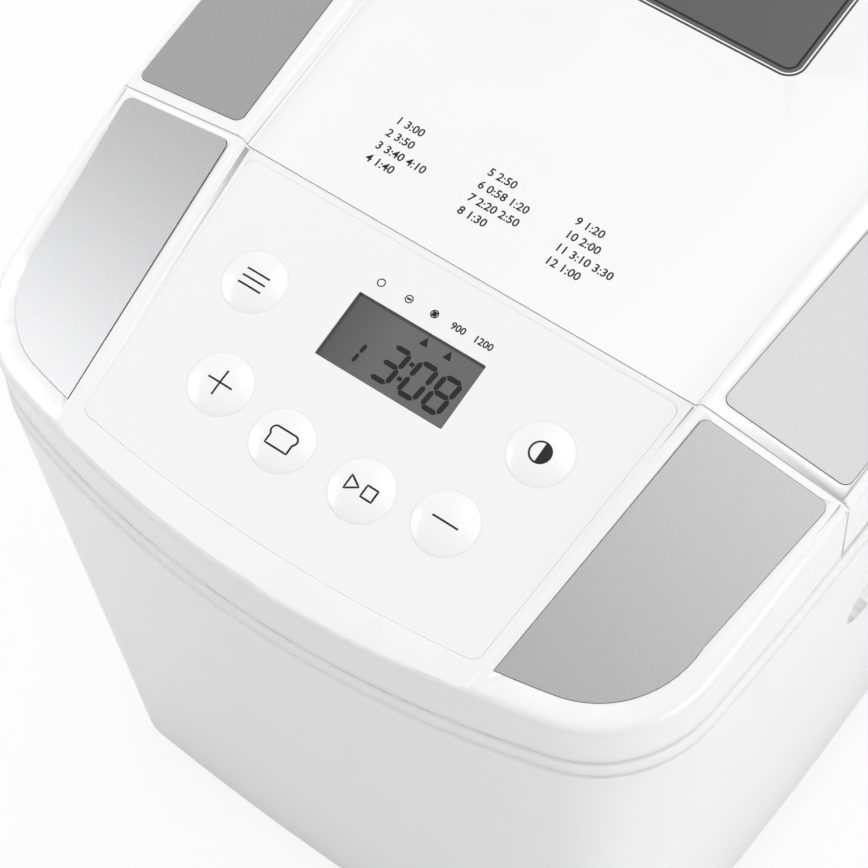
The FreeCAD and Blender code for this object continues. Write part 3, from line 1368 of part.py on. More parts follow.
def drive_belt():
    """Flat belt round both pulleys: two arcs and two tangent runs, just clear of the treads."""
    body = new_body("drive_belt")
    plan = new_sketch(body, "XY_Plane", "sizes.pulley_z + sizes.pulley_rim + sizes.fit_gap")
    big, small = (0.0, S.pan_y), (S.motor_x, S.motor_y)
    d = math.dist(big, small)
    ex, ey = (big[0] - small[0]) / d, (big[1] - small[1]) / d
    for grow in (S.belt_gap, S.belt_gap + S.belt_thick):
        r1, r2 = S.pulley_radius + grow, S.motor_pulley_radius + grow
        c = (r1 - r2) / d
        s = math.sqrt(1 - c * c)

        def spot(centre, r, side):
            return (centre[0] - r * (c * ex + side * s * ey), centre[1] - r * (c * ey - side * s * ex))

        a1, a2 = spot(big, r1, 1), spot(big, r1, -1)
        b1, b2 = spot(small, r2, 1), spot(small, r2, -1)
        far_big = (big[0] + r1 * ex, big[1] + r1 * ey)
        far_small = (small[0] - r2 * ex, small[1] - r2 * ey)
        draw(plan, [a2, (far_big, a1), b1, (far_small, b2)])
    pad(body, plan, "sizes.pulley_tall - 2 * sizes.pulley_rim - 2 * sizes.fit_gap")
    return keep(body)


# Chassis, motor and electrics

seat_z = S.chassis_z + S.chassis_thick
motor_low = seat_z + S.grommet
motor_top = motor_low + S.motor_foot_thick + S.motor_tall


def chassis_frame():
    body = new_body("chassis_frame")
    plan = new_sketch(body, "XY_Plane", "sizes.chassis_z")
    left, right = leg_spots[0][0] - 8, leg_spots[1][0] + 8
    back, front = leg_spots[2][1] + 8, leg_spots[0][1] - 8
    m_left, m_right = S.motor_x - S.motor_foot - 8, S.motor_x + S.motor_foot + 8
    m_front = S.motor_y - S.motor_foot - 8
    draw(plan, [(m_left, m_front), (m_right, m_front), (m_right, front), (right, front), (right, back),
                (left, back), (left, front), (m_left, front)])
    circle(plan, 0, S.pan_y, "sizes.bush_radius - 1 + sizes.fit_gap")
    circle(plan, S.motor_x, S.motor_y, "sizes.motor_pulley_radius + sizes.pulley_flange + 1")
    pad(body, plan, "sizes.chassis_thick")
    legs = new_sketch(body, "XY_Plane", str(plate_top))
    for x, y in leg_spots:
        circle(legs, x, y, "sizes.leg_radius")
    pad(body, legs, f"sizes.chassis_z - {plate_top} + sizes.chassis_thick / 2")
    posts = new_sketch(body, "XY_Plane", "sizes.chassis_z")
    for x, y in leg_spots[:4]:
        circle(posts, x, y, "sizes.leg_radius")
    pad(body, posts, "sizes.chamber_floor - sizes.chassis_z")
    pilots = new_sketch(body, "XY_Plane", str(plate_top))
    for x, y in leg_spots:
        circle(pilots, x, y, "sizes.screw_radius + sizes.screw_gap")
    pocket(body, pilots, "sizes.screw_long + 2", reverse=True)
    return keep(body)


def motor():
    grommets = []
    offset = S.grommet_offset
    for i in (-1, 1):
        for j in (-1, 1):
            ring = Part.makeCylinder(S.grommet_radius, S.grommet,
                                     V(S.motor_x + i * offset, S.motor_y + j * offset, seat_z))
            bore = Part.makeCylinder(S.screw_radius, S.grommet,
                                     V(S.motor_x + i * offset, S.motor_y + j * offset, seat_z))
            grommets.append(ring.cut(bore))
    group("motor_mounts", grommets)

    body = new_body("motor_body")
    foot = new_sketch(body, "XY_Plane", str(motor_low))
    pad(body, draw(foot, rounded(0, 0, S.motor_foot, S.motor_foot, 6)), "sizes.motor_foot_thick")
    can = new_sketch(body, "XY_Plane", str(motor_low))
    pad(body, circle(can, 0, 0, "sizes.motor_radius"), "sizes.motor_foot_thick + sizes.motor_tall")
    bore = new_sketch(body, "XY_Plane", str(motor_low))
    pocket(body, circle(bore, 0, 0, "sizes.shaft_radius + sizes.running"),
           "sizes.motor_foot_thick + sizes.motor_tall", reverse=True)
    body.Placement.Base = V(S.motor_x, S.motor_y, 0)
    doc.recompute()
    keep(body)

    r = S.shaft_radius
    fan_low = motor_top + 1.5
    top = fan_low + S.fan_tall
    keep(turned("motor_shaft", [(0, shaft_low), (r, shaft_low), (r, top), (0, top)], S.motor_x, S.motor_y))

    fan = new_body("motor_fan")
    disc = new_sketch(fan, "XY_Plane", str(fan_low))
    circle(disc, 0, 0, "sizes.fan_radius")
    circle(disc, 0, 0, "sizes.shaft_radius")
    pad(fan, disc, "sizes.fan_tall / 6")
    hub = new_sketch(fan, "XY_Plane", str(fan_low))
    circle(hub, 0, 0, "sizes.shaft_radius * 2")
    circle(hub, 0, 0, "sizes.shaft_radius")
    pad(fan, hub, "sizes.fan_tall")
    blades = new_sketch(fan, "XY_Plane", str(fan_low))
    for i in range(int(S.fan_blades)):
        turn = 2 * math.pi * i / S.fan_blades
        c, s = math.cos(turn), math.sin(turn)

        def spin(x, y):
            return (x * c - y * s, x * s + y * c)

        inner, outer = S.shaft_radius * 2.4, S.fan_radius * 0.97
        bow, thick = S.fan_radius * 0.14, 1.4
        middle = (inner + outer) / 2
        draw(blades, [spin(inner, 0), (spin(middle, bow), spin(outer, 0)), spin(outer, -thick),
                      (spin(middle, bow - thick), spin(inner, -thick))])
    pad(fan, blades, "sizes.fan_tall")
    fan.Placement.Base = V(S.motor_x, S.motor_y, 0)
    doc.recompute()
    keep(fan)


def electrics():
    board_low = plate_top + S.power_lift
    body = new_body("power_board")
    plan = new_sketch(body, "XY_Plane", str(board_low))
    draw(plan, rounded(S.power_x, S.power_y, S.power_half_x, S.power_half_y, 3))
    pad(body, plan, "sizes.board_thick")
    relay = new_sketch(body, "XY_Plane", str(board_low))
    draw(relay, rounded(S.power_x + S.power_half_x * 0.5, S.power_y + S.power_half_y * 0.4, 9, 8, 1))
    pad(body, relay, "sizes.board_thick + 15")
    sink = new_sketch(body, "XY_Plane", str(board_low))
    draw(sink, rounded(S.power_x + S.power_half_x * 0.4, S.power_y - S.power_half_y * 0.5, 12, 2, 0.5))
    pad(body, sink, "sizes.board_thick + 22")
    keep(body)

    winding = new_body("transformer")
    plan = new_sketch(winding, "XY_Plane", str(board_low + S.board_thick))
    draw(plan, rounded(S.power_x - S.power_half_x * 0.45, S.power_y, 16, 13, 1))
    pad(winding, plan, "sizes.power_half_y * 0.7")
    bobbin = new_sketch(winding, "XY_Plane", str(board_low + S.board_thick))
    draw(bobbin, rounded(S.power_x - S.power_half_x * 0.45, S.power_y, 10, 18, 3))
    pad(winding, bobbin, "sizes.power_half_y * 0.55")
    keep(winding)

    r, tall = S.capacitor_radius, plate_top + S.capacitor_tall
    keep(turned("capacitor", [(0, plate_top), (r, plate_top), (r, tall - 3), (r - 1.5, tall - 1.5), (r - 1.5, tall),
                              (0, tall)], S.capacitor_x, S.capacitor_y))

    hole = S.inlet_radius
    wall_y = S.body_back - S.base_back_in * (S.line_low - S.inlet_z) / (S.line_low - S.foot_height)
    wall_y -= S.inlet_x ** 2 / (2 * S.back_arc)
    gland = turned("cord_inlet", [(hole / 2, -10), (hole, -10), (hole, 0.4), (hole + 3, 0.4), (hole + 3, 3),
                                  (hole + 1, 5), (hole / 2 + 1, 5), (hole / 2, 4)])
    gland.Placement = FreeCAD.Placement(V(S.inlet_x, wall_y, S.inlet_z), FreeCAD.Rotation(V(1, 0, 0), -90))
    keep(gland)


outer_housing()
base_plate()
rubber_feet()
base_screws()
top_deck()
inlays("front_inlay", deck_wing, front_inlay_plan())
control_panel()
lid_shell()
inlays("lid_inlay", lid_wing, lid_inlay_plan())
lid_fittings()
oven_chamber()
heating_element()
chamber_fittings()
pan_fittings(bread_pan())
kneading_paddle()
drive_line()
drive_belt()
chassis_frame()
motor()
electrics()
doc.recompute()

# Nothing is written unless every object and every sub-part is sound
for thing in doc.Objects:
    if {"Invalid", "Error"} & set(thing.State):
        raise ValueError(f"{thing.Label} failed: {thing.State}")
for name, thing in nodes.items():
    if thing.Shape.isNull() or not thing.Shape.isValid():
        raise ValueError(f"{name} has no valid shape")
os.makedirs("parts", exist_ok=True)
for name, thing in nodes.items():
    thing.Shape.exportStep(f"parts/{name}.step")
    print(f"{name}: {len(thing.Shape.Solids)} solids, {thing.Shape.Volume / 1000:.1f} cm3")
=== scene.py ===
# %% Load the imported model
import json
import math

import bmesh
import bpy
import numpy as np
from mathutils import Matrix, Vector


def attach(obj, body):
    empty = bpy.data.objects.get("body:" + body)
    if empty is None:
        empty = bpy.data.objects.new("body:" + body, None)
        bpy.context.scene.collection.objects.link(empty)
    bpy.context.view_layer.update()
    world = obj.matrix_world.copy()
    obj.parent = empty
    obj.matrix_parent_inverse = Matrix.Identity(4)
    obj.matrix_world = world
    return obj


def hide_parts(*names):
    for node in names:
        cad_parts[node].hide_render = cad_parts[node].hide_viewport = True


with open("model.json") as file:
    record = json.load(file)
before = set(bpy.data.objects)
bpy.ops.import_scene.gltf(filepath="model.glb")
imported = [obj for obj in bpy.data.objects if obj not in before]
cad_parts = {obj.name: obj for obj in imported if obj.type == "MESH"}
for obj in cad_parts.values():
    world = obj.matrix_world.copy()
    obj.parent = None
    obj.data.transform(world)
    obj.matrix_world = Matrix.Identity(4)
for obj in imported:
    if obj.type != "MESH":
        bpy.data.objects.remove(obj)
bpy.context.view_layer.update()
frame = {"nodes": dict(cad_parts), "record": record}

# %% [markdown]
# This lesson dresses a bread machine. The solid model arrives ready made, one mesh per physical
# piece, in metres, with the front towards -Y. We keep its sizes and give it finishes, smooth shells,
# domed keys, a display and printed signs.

MM = 0.001
nodes = frame["nodes"]
bodies = frame["record"]["behaviour"]["bodies"]
body_of_node = {node: body for body, names in bodies.items() for node in names}
slot_of_node = {part["node"]: part["material_slot"] for part in frame["record"]["subparts"]}


def new_object(name, data):
    """Object with this data, linked into the scene."""
    thing = bpy.data.objects.new(name, data)
    bpy.context.scene.collection.objects.link(thing)
    return thing


# %% [markdown]
# Shader nodes are easier to read as arithmetic. The class below wraps one output socket. An operator
# on it adds a Math node, and the method make adds any other node. Numbers alone stay ordinary Python.

# %% A socket that understands arithmetic


class Wire:
    """One output socket of a node tree; an operator on it adds a Math node."""

    def __init__(self, tree, socket):
        self.tree = tree
        self.socket = socket

    def make(self, kind, settings=None, out=0, **sockets):
        """Add a node of a kind: its settings first, then values or links by socket name or i + number."""
        node = self.tree.nodes.new("ShaderNode" + kind)
        for name, value in (settings or {}).items():
            setattr(node, name, value)
        for name, value in sockets.items():
            numbered = name[0] == "i" and name[1:].isdigit()
            target = node.inputs[int(name[1:]) if numbered else name]
            if isinstance(value, Wire):
                self.tree.links.new(value.socket, target)
            else:
                target.default_value = value
        return Wire(self.tree, node.outputs[out])

    def _math(self, operation, a, b):
        return self.make("Math", {"operation": operation}, i0=a, i1=b)

    def __add__(self, other):
        return self._math("ADD", self, other)

    def __radd__(self, other):
        return self._math("ADD", other, self)

    def __sub__(self, other):
        return self._math("SUBTRACT", self, other)

    def __rsub__(self, other):
        return self._math("SUBTRACT", other, self)

    def __mul__(self, other):
        return self._math("MULTIPLY", self, other)

    def __rmul__(self, other):
        return self._math("MULTIPLY", other, self)

    def clamp(self):
        """The value held between 0 and 1."""
        return self.make("Clamp", i0=self)

    def noise(self, scale, detail=2.0):
        """Soft noise over this vector, from 0 to 1; scale is in features per metre."""
        return self.make("TexNoise", i2=float(scale), i3=float(detail), i0=self)

    def between(self, dark, light):
        """The colour between two colours at this value."""
        return self.make("Mix", {"data_type": "RGBA"}, out=2, i0=self, i6=(*dark, 1.0), i7=(*light, 1.0))

    def bump(self, height, strength):
        """A normal pushed by this value, height in metres."""
        return self.make("Bump", Strength=float(strength), Distance=float(height), Height=self)


print("socket class ready")

# %% [markdown]
# Each finish starts from a Principled shader. Its constant numbers are set on the shader itself and
# only what changes over the surface is linked, so that the finish can also be baked later.

# %% Start of every finish


def paint(name, **constants):
    """New material: returns it, its shader node and a Wire on the Object coordinates."""
    material = bpy.data.materials.new(name)
    material.use_nodes = True
    tree = material.node_tree
    shader = next(n for n in tree.nodes if n.type == "BSDF_PRINCIPLED")
    for socket, value in constants.items():
        shader.inputs[socket.replace("_", " ")].default_value = value
    place = tree.nodes.new("ShaderNodeTexCoord")
    return material, shader, Wire(tree, place.outputs["Object"])


def feed(wire, shader, socket):
    """Link a Wire into a socket of the shader."""
    wire.tree.links.new(wire.socket, shader.inputs[socket])


def shade(colour, factor):
    """A colour made darker or lighter by a factor."""
    return tuple(min(1.0, c * factor) for c in colour)


# %% [markdown]
# Most of the machine is moulded plastic, and that is never perfectly even: the mould leaves a very
# fine texture and polishing leaves broad, faint changes of gloss. A picture of plastic would need a
# layout of the surface, so noise in space is simpler here. One function gives both, with the amounts
# as arguments.

# %% Plastics and rubber
BROAD_SCALE = 14
GRAIN_HEIGHT = 0.00003
COAT_ROUGH = 0.12


def moulded(name, colour, rough, grain=0.0, coat=0.0, spread=0.06, scale=2500, ior=1.5):
    """Plastic: broad noise changes gloss and tint a little, fine noise is the mould's grain."""
    material, shader, place = paint(name, Coat_Weight=coat, Coat_Roughness=COAT_ROUGH, IOR=ior)
    broad = place.noise(BROAD_SCALE)
    dark, light = shade(colour, 1 - spread / 3), shade(colour, 1 + spread / 3)
    feed(broad.between(dark, light), shader, "Base Color")
    feed((broad - 0.5) * spread + rough, shader, "Roughness")
    if grain:
        feed(place.noise(scale).bump(GRAIN_HEIGHT, grain), shader, "Normal")
    return material


# %% [markdown]
# Sheet steel, as in the oven, shows its rolling direction as long thin streaks. Stretching the
# coordinates before the noise turns round spots into streaks. Cast and plated metals keep round spots.

# %% Metals
STREAK_DARK, STREAK_LIGHT = 0.86, 1.1


def metal(name, colour, rough, streak=(1.0, 1.0, 1.0), scale=600, depth=0.3):
    """Metal: noise on stretched coordinates changes tint and gloss, as rolling or casting does."""
    material, shader, place = paint(name, Metallic=1.0)
    stretched = place.make("Mapping", Scale=streak, Vector=place)
    streaks = stretched.noise(scale, 4.0)
    tint = streaks.between(shade(colour, STREAK_DARK), shade(colour, STREAK_LIGHT))
    feed(tint, shader, "Base Color")
    feed((streaks - 0.5) * depth + rough, shader, "Roughness")
    return material


# %% [markdown]
# The pan and the paddle have a dark nonstick coat with pale flecks. A threshold on fine noise gives
# separate flecks instead of a cloud.

# %% Nonstick coat with flecks
FLECK_SCALE, FLECK_LEVEL, FLECK_EDGE = 900, 0.66, 30.0


def flecked(name, colour, fleck, rough):
    """Dark coat with pale flecks where fine noise passes a threshold."""
    material, shader, place = paint(name)
    spots = ((place.noise(FLECK_SCALE, 1.0) - FLECK_LEVEL) * FLECK_EDGE).clamp()
    feed(spots.between(colour, fleck), shader, "Base Color")
    feed(spots * 0.1 + rough, shader, "Roughness")
    return material


# %% [markdown]
# The inlays are thin plates with a satin silver paint: a fine, even grain of lighter and darker specks
# under a thin clear coat. A full metal would look like a mirror, so a little of the paint's own grey
# stays.

# %% Satin silver of the inlays
FINE_SPECKS, COARSE_SPECKS = 5200, 1500
SILVER_DARK, SILVER_LIGHT = (0.3, 0.3, 0.305), (0.42, 0.42, 0.425)


def satin_silver(name):
    """Silver paint: two sizes of grain change the tint, and much metal gives the sheen."""
    material, shader, place = paint(name, Metallic=0.85, Coat_Weight=0.06, Coat_Roughness=0.3)
    grain = place.noise(FINE_SPECKS, 1.0) * 0.7 + place.noise(COARSE_SPECKS, 1.0) * 0.3
    feed(grain.between(SILVER_DARK, SILVER_LIGHT), shader, "Base Color")
    feed((grain - 0.5) * 0.12 + 0.3, shader, "Roughness")
    return material


# %% [markdown]
# The display is a grey liquid crystal under a clear lens, softly cloudy, with painted shade that makes
# it darker at its left end, where the panel shades it. The window of the lid is dark tinted glass that
# lets a little light through, with painted light that makes it lighter towards the right. Both tones
# run across the machine, so the x coordinate drives them.

# %% Display and window
LCD_HALF = 22.0
LCD_SHADE_FADE = 60.0
LCD_DARK, LCD_LIGHT = (0.042, 0.042, 0.044), (0.098, 0.098, 0.1)
GLASS_DARK, GLASS_LIGHT = (0.1, 0.101, 0.102), (0.17, 0.171, 0.173)


def display_grey(name):
    """Display: grey that rises from painted shade at the left end and varies slowly, with a clear coat for
    the lens.
    """
    material, shader, place = paint(name, Coat_Weight=0.5, Coat_Roughness=0.08)
    # painted shade: the grey grows darker towards the left end of the display, where the panel shades it
    across = ((place.make("SeparateXYZ", Vector=place) + LCD_HALF * MM) * LCD_SHADE_FADE).clamp()
    tone = across * 0.7 + place.noise(60) * 0.3
    feed(tone.between(LCD_DARK, LCD_LIGHT), shader, "Base Color")
    feed(place.noise(300) * 0.1 + 0.3, shader, "Roughness")
    return material


def tinted_glass(name):
    """Window: dark glass, polished, with painted light that makes it lighter towards the right, and a trace
    of unevenness.
    """
    material, shader, place = paint(name, Transmission_Weight=0.35, IOR=1.5)
    # painted light: the glass grows lighter towards the right
    across = place.make("SeparateXYZ", Vector=place) * 4.0 + place.noise(25) * 0.3
    feed((across + 0.35).clamp().between(GLASS_DARK, GLASS_LIGHT), shader, "Base Color")
    feed(place.noise(40) * 0.05 + 0.05, shader, "Roughness")
    return material


# %% [markdown]
# The record of the solids names a finish for every piece. A table gives each name its material, and
# every solid takes the one it asks for. The inks for the signs reflect less than plastic does, so that
# print stays dark.

# %% Every finish of the record
FINISHES = {
    "white_plastic": moulded("white_plastic", (0.83, 0.83, 0.83), 0.3, 0.05, 0.35),
    "white_key": moulded("white_key", (0.84, 0.84, 0.845), 0.28, 0.04, 0.4),
    "panel_film": moulded("panel_film", (0.82, 0.82, 0.822), 0.5, 0.15, 0.05, 0.03, 4000),
    "silver_inlay": satin_silver("silver_inlay"),
    "lcd_glass": display_grey("lcd_glass"),
    "window_glass": tinted_glass("window_glass"),
    "grey_plastic": moulded("grey_plastic", (0.35, 0.35, 0.36), 0.5, 0.2),
    "dark_plastic": moulded("dark_plastic", (0.03, 0.03, 0.033), 0.5, 0.2),
    "black_rubber": moulded("black_rubber", (0.02, 0.02, 0.02), 0.75, 0.4),
    "seal_rubber": moulded("seal_rubber", (0.3, 0.3, 0.3), 0.7, 0.3),
    "zinc_steel": metal("zinc_steel", (0.55, 0.56, 0.58), 0.38, scale=250),
    "bright_steel": metal("bright_steel", (0.7, 0.7, 0.71), 0.16, scale=900, depth=0.1),
    "oven_steel": metal("oven_steel", (0.58, 0.58, 0.59), 0.34, (1.0, 14.0, 14.0), 40, 0.1),
    "cast_aluminium": metal("cast_aluminium", (0.6, 0.6, 0.61), 0.46, scale=1500),
    "heater_tube": metal("heater_tube", (0.09, 0.085, 0.08), 0.5, scale=700),
    "bearing_brass": metal("bearing_brass", (0.62, 0.44, 0.2), 0.32, scale=800),
    "dark_metal": metal("dark_metal", (0.1, 0.1, 0.11), 0.4, scale=400),
    "green_board": moulded("green_board", (0.02, 0.12, 0.05), 0.35, 0.2, 0.2, 0.2),
    "copper_winding": metal("copper_winding", (0.5, 0.22, 0.1), 0.4, (1.0, 1.0, 40.0), 60),
    "nonstick_coat": flecked("nonstick_coat", (0.03, 0.03, 0.033), (0.3, 0.3, 0.31), 0.42),
}
INK_IOR = 1.2
ink = moulded("printed_ink", (0.025, 0.025, 0.026), 0.5, 0.1, ior=INK_IOR)
lcd_ink = moulded("display_ink", (0.022, 0.022, 0.023), 0.4, 0.1, ior=INK_IOR)
lcd_shade = moulded("display_shade", (0.035, 0.035, 0.037), 0.4, 0.1)
for node, thing in nodes.items():
    thing.data.materials.clear()
    thing.data.materials.append(FINISHES[slot_of_node[node]])
print("finishes:", len(FINISHES))

# %% [markdown]
# The solids come as loose triangles. For the large curved shells we take a copy, merge its points, mark
# sharp edges by angle and weigh the normals by face area, so that flat faces stay flat and curves look
# smooth. The inlays also get a narrow bevel, which catches the light as the edge of a plate does.

# %% Smooth copies of the shells
MERGE_GAP = 2e-6
FLAT_ANGLE, SHARP_ANGLE, BEVEL_ANGLE = (math.radians(a) for a in (0.02, 28.0, 40.0))
INLAY_BEVEL = 0.35


def smooth_copy(name, node, bevel=0.0):
    """Merged copy of a CAD node with sharp edges marked by angle and area-weighted normals."""
    mesh = nodes[node].data.copy()
    work = bmesh.new()
    work.from_mesh(mesh)
    bmesh.ops.remove_doubles(work, verts=work.verts, dist=MERGE_GAP)
    bmesh.ops.dissolve_limit(work, angle_limit=FLAT_ANGLE, verts=work.verts, edges=work.edges)
    work.to_mesh(mesh)
    work.free()
    mesh.shade_smooth()
    mesh.set_sharp_from_angle(angle=SHARP_ANGLE)
    piece = new_object(name, mesh)
    if bevel:
        edge = piece.modifiers.new("edge", "BEVEL")
        edge.width = bevel * MM
        edge.segments = 2
        edge.limit_method = "ANGLE"
        edge.angle_limit = BEVEL_ANGLE
        edge.harden_normals = True
    piece.shadow_terminator_geometry_offset = 1.0
    weigh = piece.modifiers.new("weigh", "WEIGHTED_NORMAL")
    weigh.keep_sharp = True
    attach(piece, body_of_node[node])
    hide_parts(node)
    return piece


shells = [
    smooth_copy("housing_skin", "outer_housing"),
    smooth_copy("deck_skin", "top_deck"),
    smooth_copy("lid_skin", "lid_shell"),
    smooth_copy("window_pane", "lid_window"),
]
for side in ("left", "right"):
    shells.append(smooth_copy("deck_silver_" + side, "front_inlay_" + side, INLAY_BEVEL))
    shells.append(smooth_copy("lid_silver_" + side, "lid_inlay_" + side, INLAY_BEVEL))
print("smooth shells:", [len(s.data.polygons) for s in shells])

# %% [markdown]
# The control panel slopes down to the user. All its signs are drawn on a flat sheet, with x to the
# right and v away from the user, and one matrix carries them onto the slope. Sizes are in millimetres,
# so the matrix also scales them to metres.

# %% The sloping panel and a mesh helper
SEAM_Y = -69.5
LID_TOP = 297.5
TILT = math.radians(6.5)
machine = Matrix.Scale(MM, 4)
lid_sheet = Matrix.Translation((0, 0, LID_TOP * MM)) @ machine
panel = Matrix.Translation((0, SEAM_Y * MM, LID_TOP * MM)) @ Matrix.Rotation(TILT, 4, "X") @ machine


def add_piece(name, points, faces, matrix, material, body, smooth=False):
    """Mesh from an array of points in millimetres, carried into place by a matrix."""
    spots = np.c_[points, np.ones(len(points))] @ np.array(matrix).T
    mesh = bpy.data.meshes.new(name)
    mesh.from_pydata(spots[:, :3].tolist(), [], faces)
    mesh.materials.append(material)
    if smooth:
        mesh.shade_smooth()
    piece = new_object(name, mesh)
    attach(piece, body)
    return piece


def grid_faces(rows, columns, closed=False):
    """Quads between neighbouring points of a grid; closed joins the last column to the first."""
    low = np.arange(rows - 1)[:, None] * columns
    here = np.arange(columns if closed else columns - 1)[None, :]
    after = (here + 1) % columns
    high = low + columns
    quads = np.stack([low + here, low + after, high + after, high + here], -1)
    return quads.reshape(-1, 4).tolist()


# %% [markdown]
# Two fine ledges run round the machine under the deck and the lid. Their plan is a barrel of eight
# arcs: the front, the back, two sides and four corners. We could cut the ledges out of the copied
# shell, but its triangles are uneven there. Walking along the arcs in small steps and carrying the
# section of the ledges along lets the light draw two clean lines.

# %% Ledges round the top of the housing
SIDE_ARC, BACK_ARC, WIDEST = 1550.0, 2500.0, 25.0
LINE_LOW, LINE_TOP, STEP = 251.5, 259.5, 0.8
RIM = dict(half=132.3, front=180.0, back=180.0, front_arc=342.0, front_corner=42.0, back_corner=40.0)
OVER, LAP = 0.03, 0.05


def crossing(c1, r1, c2, r2, side):
    """Right-hand crossing of two circles, at the front for side -1 and at the back for side 1."""
    c1, c2 = np.array(c1), np.array(c2)
    apart = np.linalg.norm(c2 - c1)
    along = (apart * apart + r1 * r1 - r2 * r2) / (2 * apart)
    e = (c2 - c1) / apart
    off = math.sqrt(r1 * r1 - along * along) * np.array((e[1], -e[0]))
    spots = c1 + along * e + np.array([[1], [-1]]) * off
    return max(spots.tolist(), key=lambda p: (p[0] > 0, side * p[1]))


def barrel_normals(half, front, back, front_arc, front_corner, back_corner, count=90):
    """Points and outward normals of a barrel plan: on each arc the normal turns evenly with the angle."""
    bow, side, rear = (0, front_arc - front), (half - SIDE_ARC, WIDEST), (0, back - BACK_ARC)
    near = crossing(bow, front_arc - front_corner, side, SIDE_ARC - front_corner, -1)
    far = crossing(rear, BACK_ARC - back_corner, side, SIDE_ARC - back_corner, 1)
    joints = ((near, bow), (near, side), (far, side), (far, rear))
    turns = [math.atan2(p[1] - c[1], p[0] - c[0]) for p, c in joints]
    arcs = ((bow, front_arc, -math.pi / 2, turns[0]), (near, front_corner, turns[0], turns[1]),
            (side, SIDE_ARC, turns[1], turns[2]), (far, back_corner, turns[2], turns[3]),
            (rear, BACK_ARC, turns[3], math.pi / 2))
    points, normals = [], []
    for centre, radius, a, b in arcs:
        angle = np.linspace(a, b, count, endpoint=False)
        normals.append(np.c_[np.cos(angle), np.sin(angle)])
        points.append(np.array(centre) + radius * normals[-1])
    points, normals = np.concatenate(points), np.concatenate(normals)
    mirror = np.array((-1.0, 1.0))
    return (np.concatenate([points, np.array([[0.0, back]]), points[:0:-1] * mirror]),
            np.concatenate([normals, np.array([[0.0, 1.0]]), normals[:0:-1] * mirror]))


plan, outward = barrel_normals(**RIM)
LEDGES = ((0.0, LINE_LOW), (STEP, LINE_LOW), (STEP, LINE_TOP), (2 * STEP - LAP, LINE_TOP))
for k, ends in enumerate(zip(LEDGES, LEDGES[1:]), start=1):
    rows = [np.c_[plan - (inset - OVER) * outward, np.full(len(plan), z + OVER)] for inset, z in ends]
    add_piece(f"ledge_{k}", np.concatenate(rows), grid_faces(2, len(plan), True), machine,
              FINISHES["white_plastic"], "housing", True)
print("ledge points:", len(plan))

# %% [markdown]
# The solids come with flat triangles, but we know the true form of the outer wall: its plan changes
# evenly from the foot to the ledge and stays the same above. So we can give each corner of a wall
# triangle the exact direction of that surface. The shading is then as smooth as the plan itself.

# %% Exact directions on the outer walls
FOOT = 7.0
BASE = dict(half=118.8, front=174.0, back=174.0, front_arc=1200.0, front_corner=16.0, back_corner=16.0)
foot_plan, foot_outward = barrel_normals(**BASE)
rim_size, foot_size = [np.hypot(*p.T)[:, None] for p in (plan, foot_plan)]
NEARLY_ALONG = 0.97
WALL_REACH = (1.2, 2.6, 2.6)


def by_bearing(points, values, bearing):
    """Values along a closed plan, looked up by the bearing of a point from the middle."""
    own = np.arctan2(points[:, 1], points[:, 0])
    order = np.argsort(own)
    columns = [np.interp(bearing, own[order], column[order], period=2 * np.pi) for column in values.T]
    return np.stack(columns, -1)


def between_plans(rim_values, foot_values, spots, bearing):
    """Values of the two plans at a bearing, mixed by the height from the foot to the ledge."""
    share = np.clip((spots[:, 2] - FOOT) / (LINE_LOW - FOOT), 0, 1)[:, None]
    high = by_bearing(plan, rim_values, bearing)
    return high * share + by_bearing(foot_plan, foot_values, bearing) * (1 - share)


def wall_direction(spots, bearing):
    """Outward direction of the wall: the plans' normals mixed by height, tipped down by the taper."""
    level = between_plans(outward, foot_outward, spots, bearing)
    level /= np.linalg.norm(level, axis=1)[:, None]
    radial = np.c_[np.cos(bearing), np.sin(bearing)]
    grow = by_bearing(plan, rim_size, bearing) - by_bearing(foot_plan, foot_size, bearing)
    slope = grow[:, 0] * (radial * level).sum(1) / (LINE_LOW - FOOT)
    tipped = np.c_[level, -slope * (spots[:, 2] < LINE_LOW + 0.01)]
    return tipped / np.linalg.norm(tipped, axis=1)[:, None]


def read(items, field, wide=1, kind=float):
    """One field of a mesh's items as an array, with a row for each item if it has several numbers."""
    values = np.empty(len(items) * wide, kind)
    items.foreach_get(field, values)
    return values.reshape(-1, wide) if wide > 1 else values


def true_walls(piece, reach):
    """Replace the directions at corners near the outer plan that already look nearly along the wall's."""
    bpy.context.view_layer.update()
    shown = piece.evaluated_get(bpy.context.evaluated_depsgraph_get()).data
    arrows = read(shown.corner_normals, "vector", 3, np.float32)
    spots = read(shown.vertices, "co", 3)[read(shown.loops, "vertex_index", kind=int)] / MM
    totals = read(shown.polygons, "loop_total", kind=int)
    face = np.repeat(read(shown.polygons, "normal", 3), totals, 0)
    bearing = np.arctan2(spots[:, 1], spots[:, 0])
    true = wall_direction(spots, bearing)
    rim = between_plans(rim_size, foot_size, spots, bearing)[:, 0]
    near = np.hypot(spots[:, 0], spots[:, 1]) > rim - reach
    on_wall = near & ((face * true).sum(1) > NEARLY_ALONG)
    arrows[on_wall] = true[on_wall]
    piece.modifiers.clear()
    piece.data.normals_split_custom_set(arrows.tolist())
    return int(on_wall.sum())


print("corners on walls:", [true_walls(piece, reach) for piece, reach in zip(shells, WALL_REACH)])

# %% [markdown]
# Under the seam between the deck and the lid runs a narrow lip. It follows the roof just below its rear
# edge, so that the seam reads as a soft line and not as a dark slot. The roof's own corner points give
# its form, so the lip needs no second description of that curve.

# %% Lip in the seam
SEAM_HALF = 1.0
LIP_FRONT, LIP_BACK, LIP_DEPTH = -1.03, -0.1, 0.45
ROOF_LOW, UPWARD = 280.0, 0.3


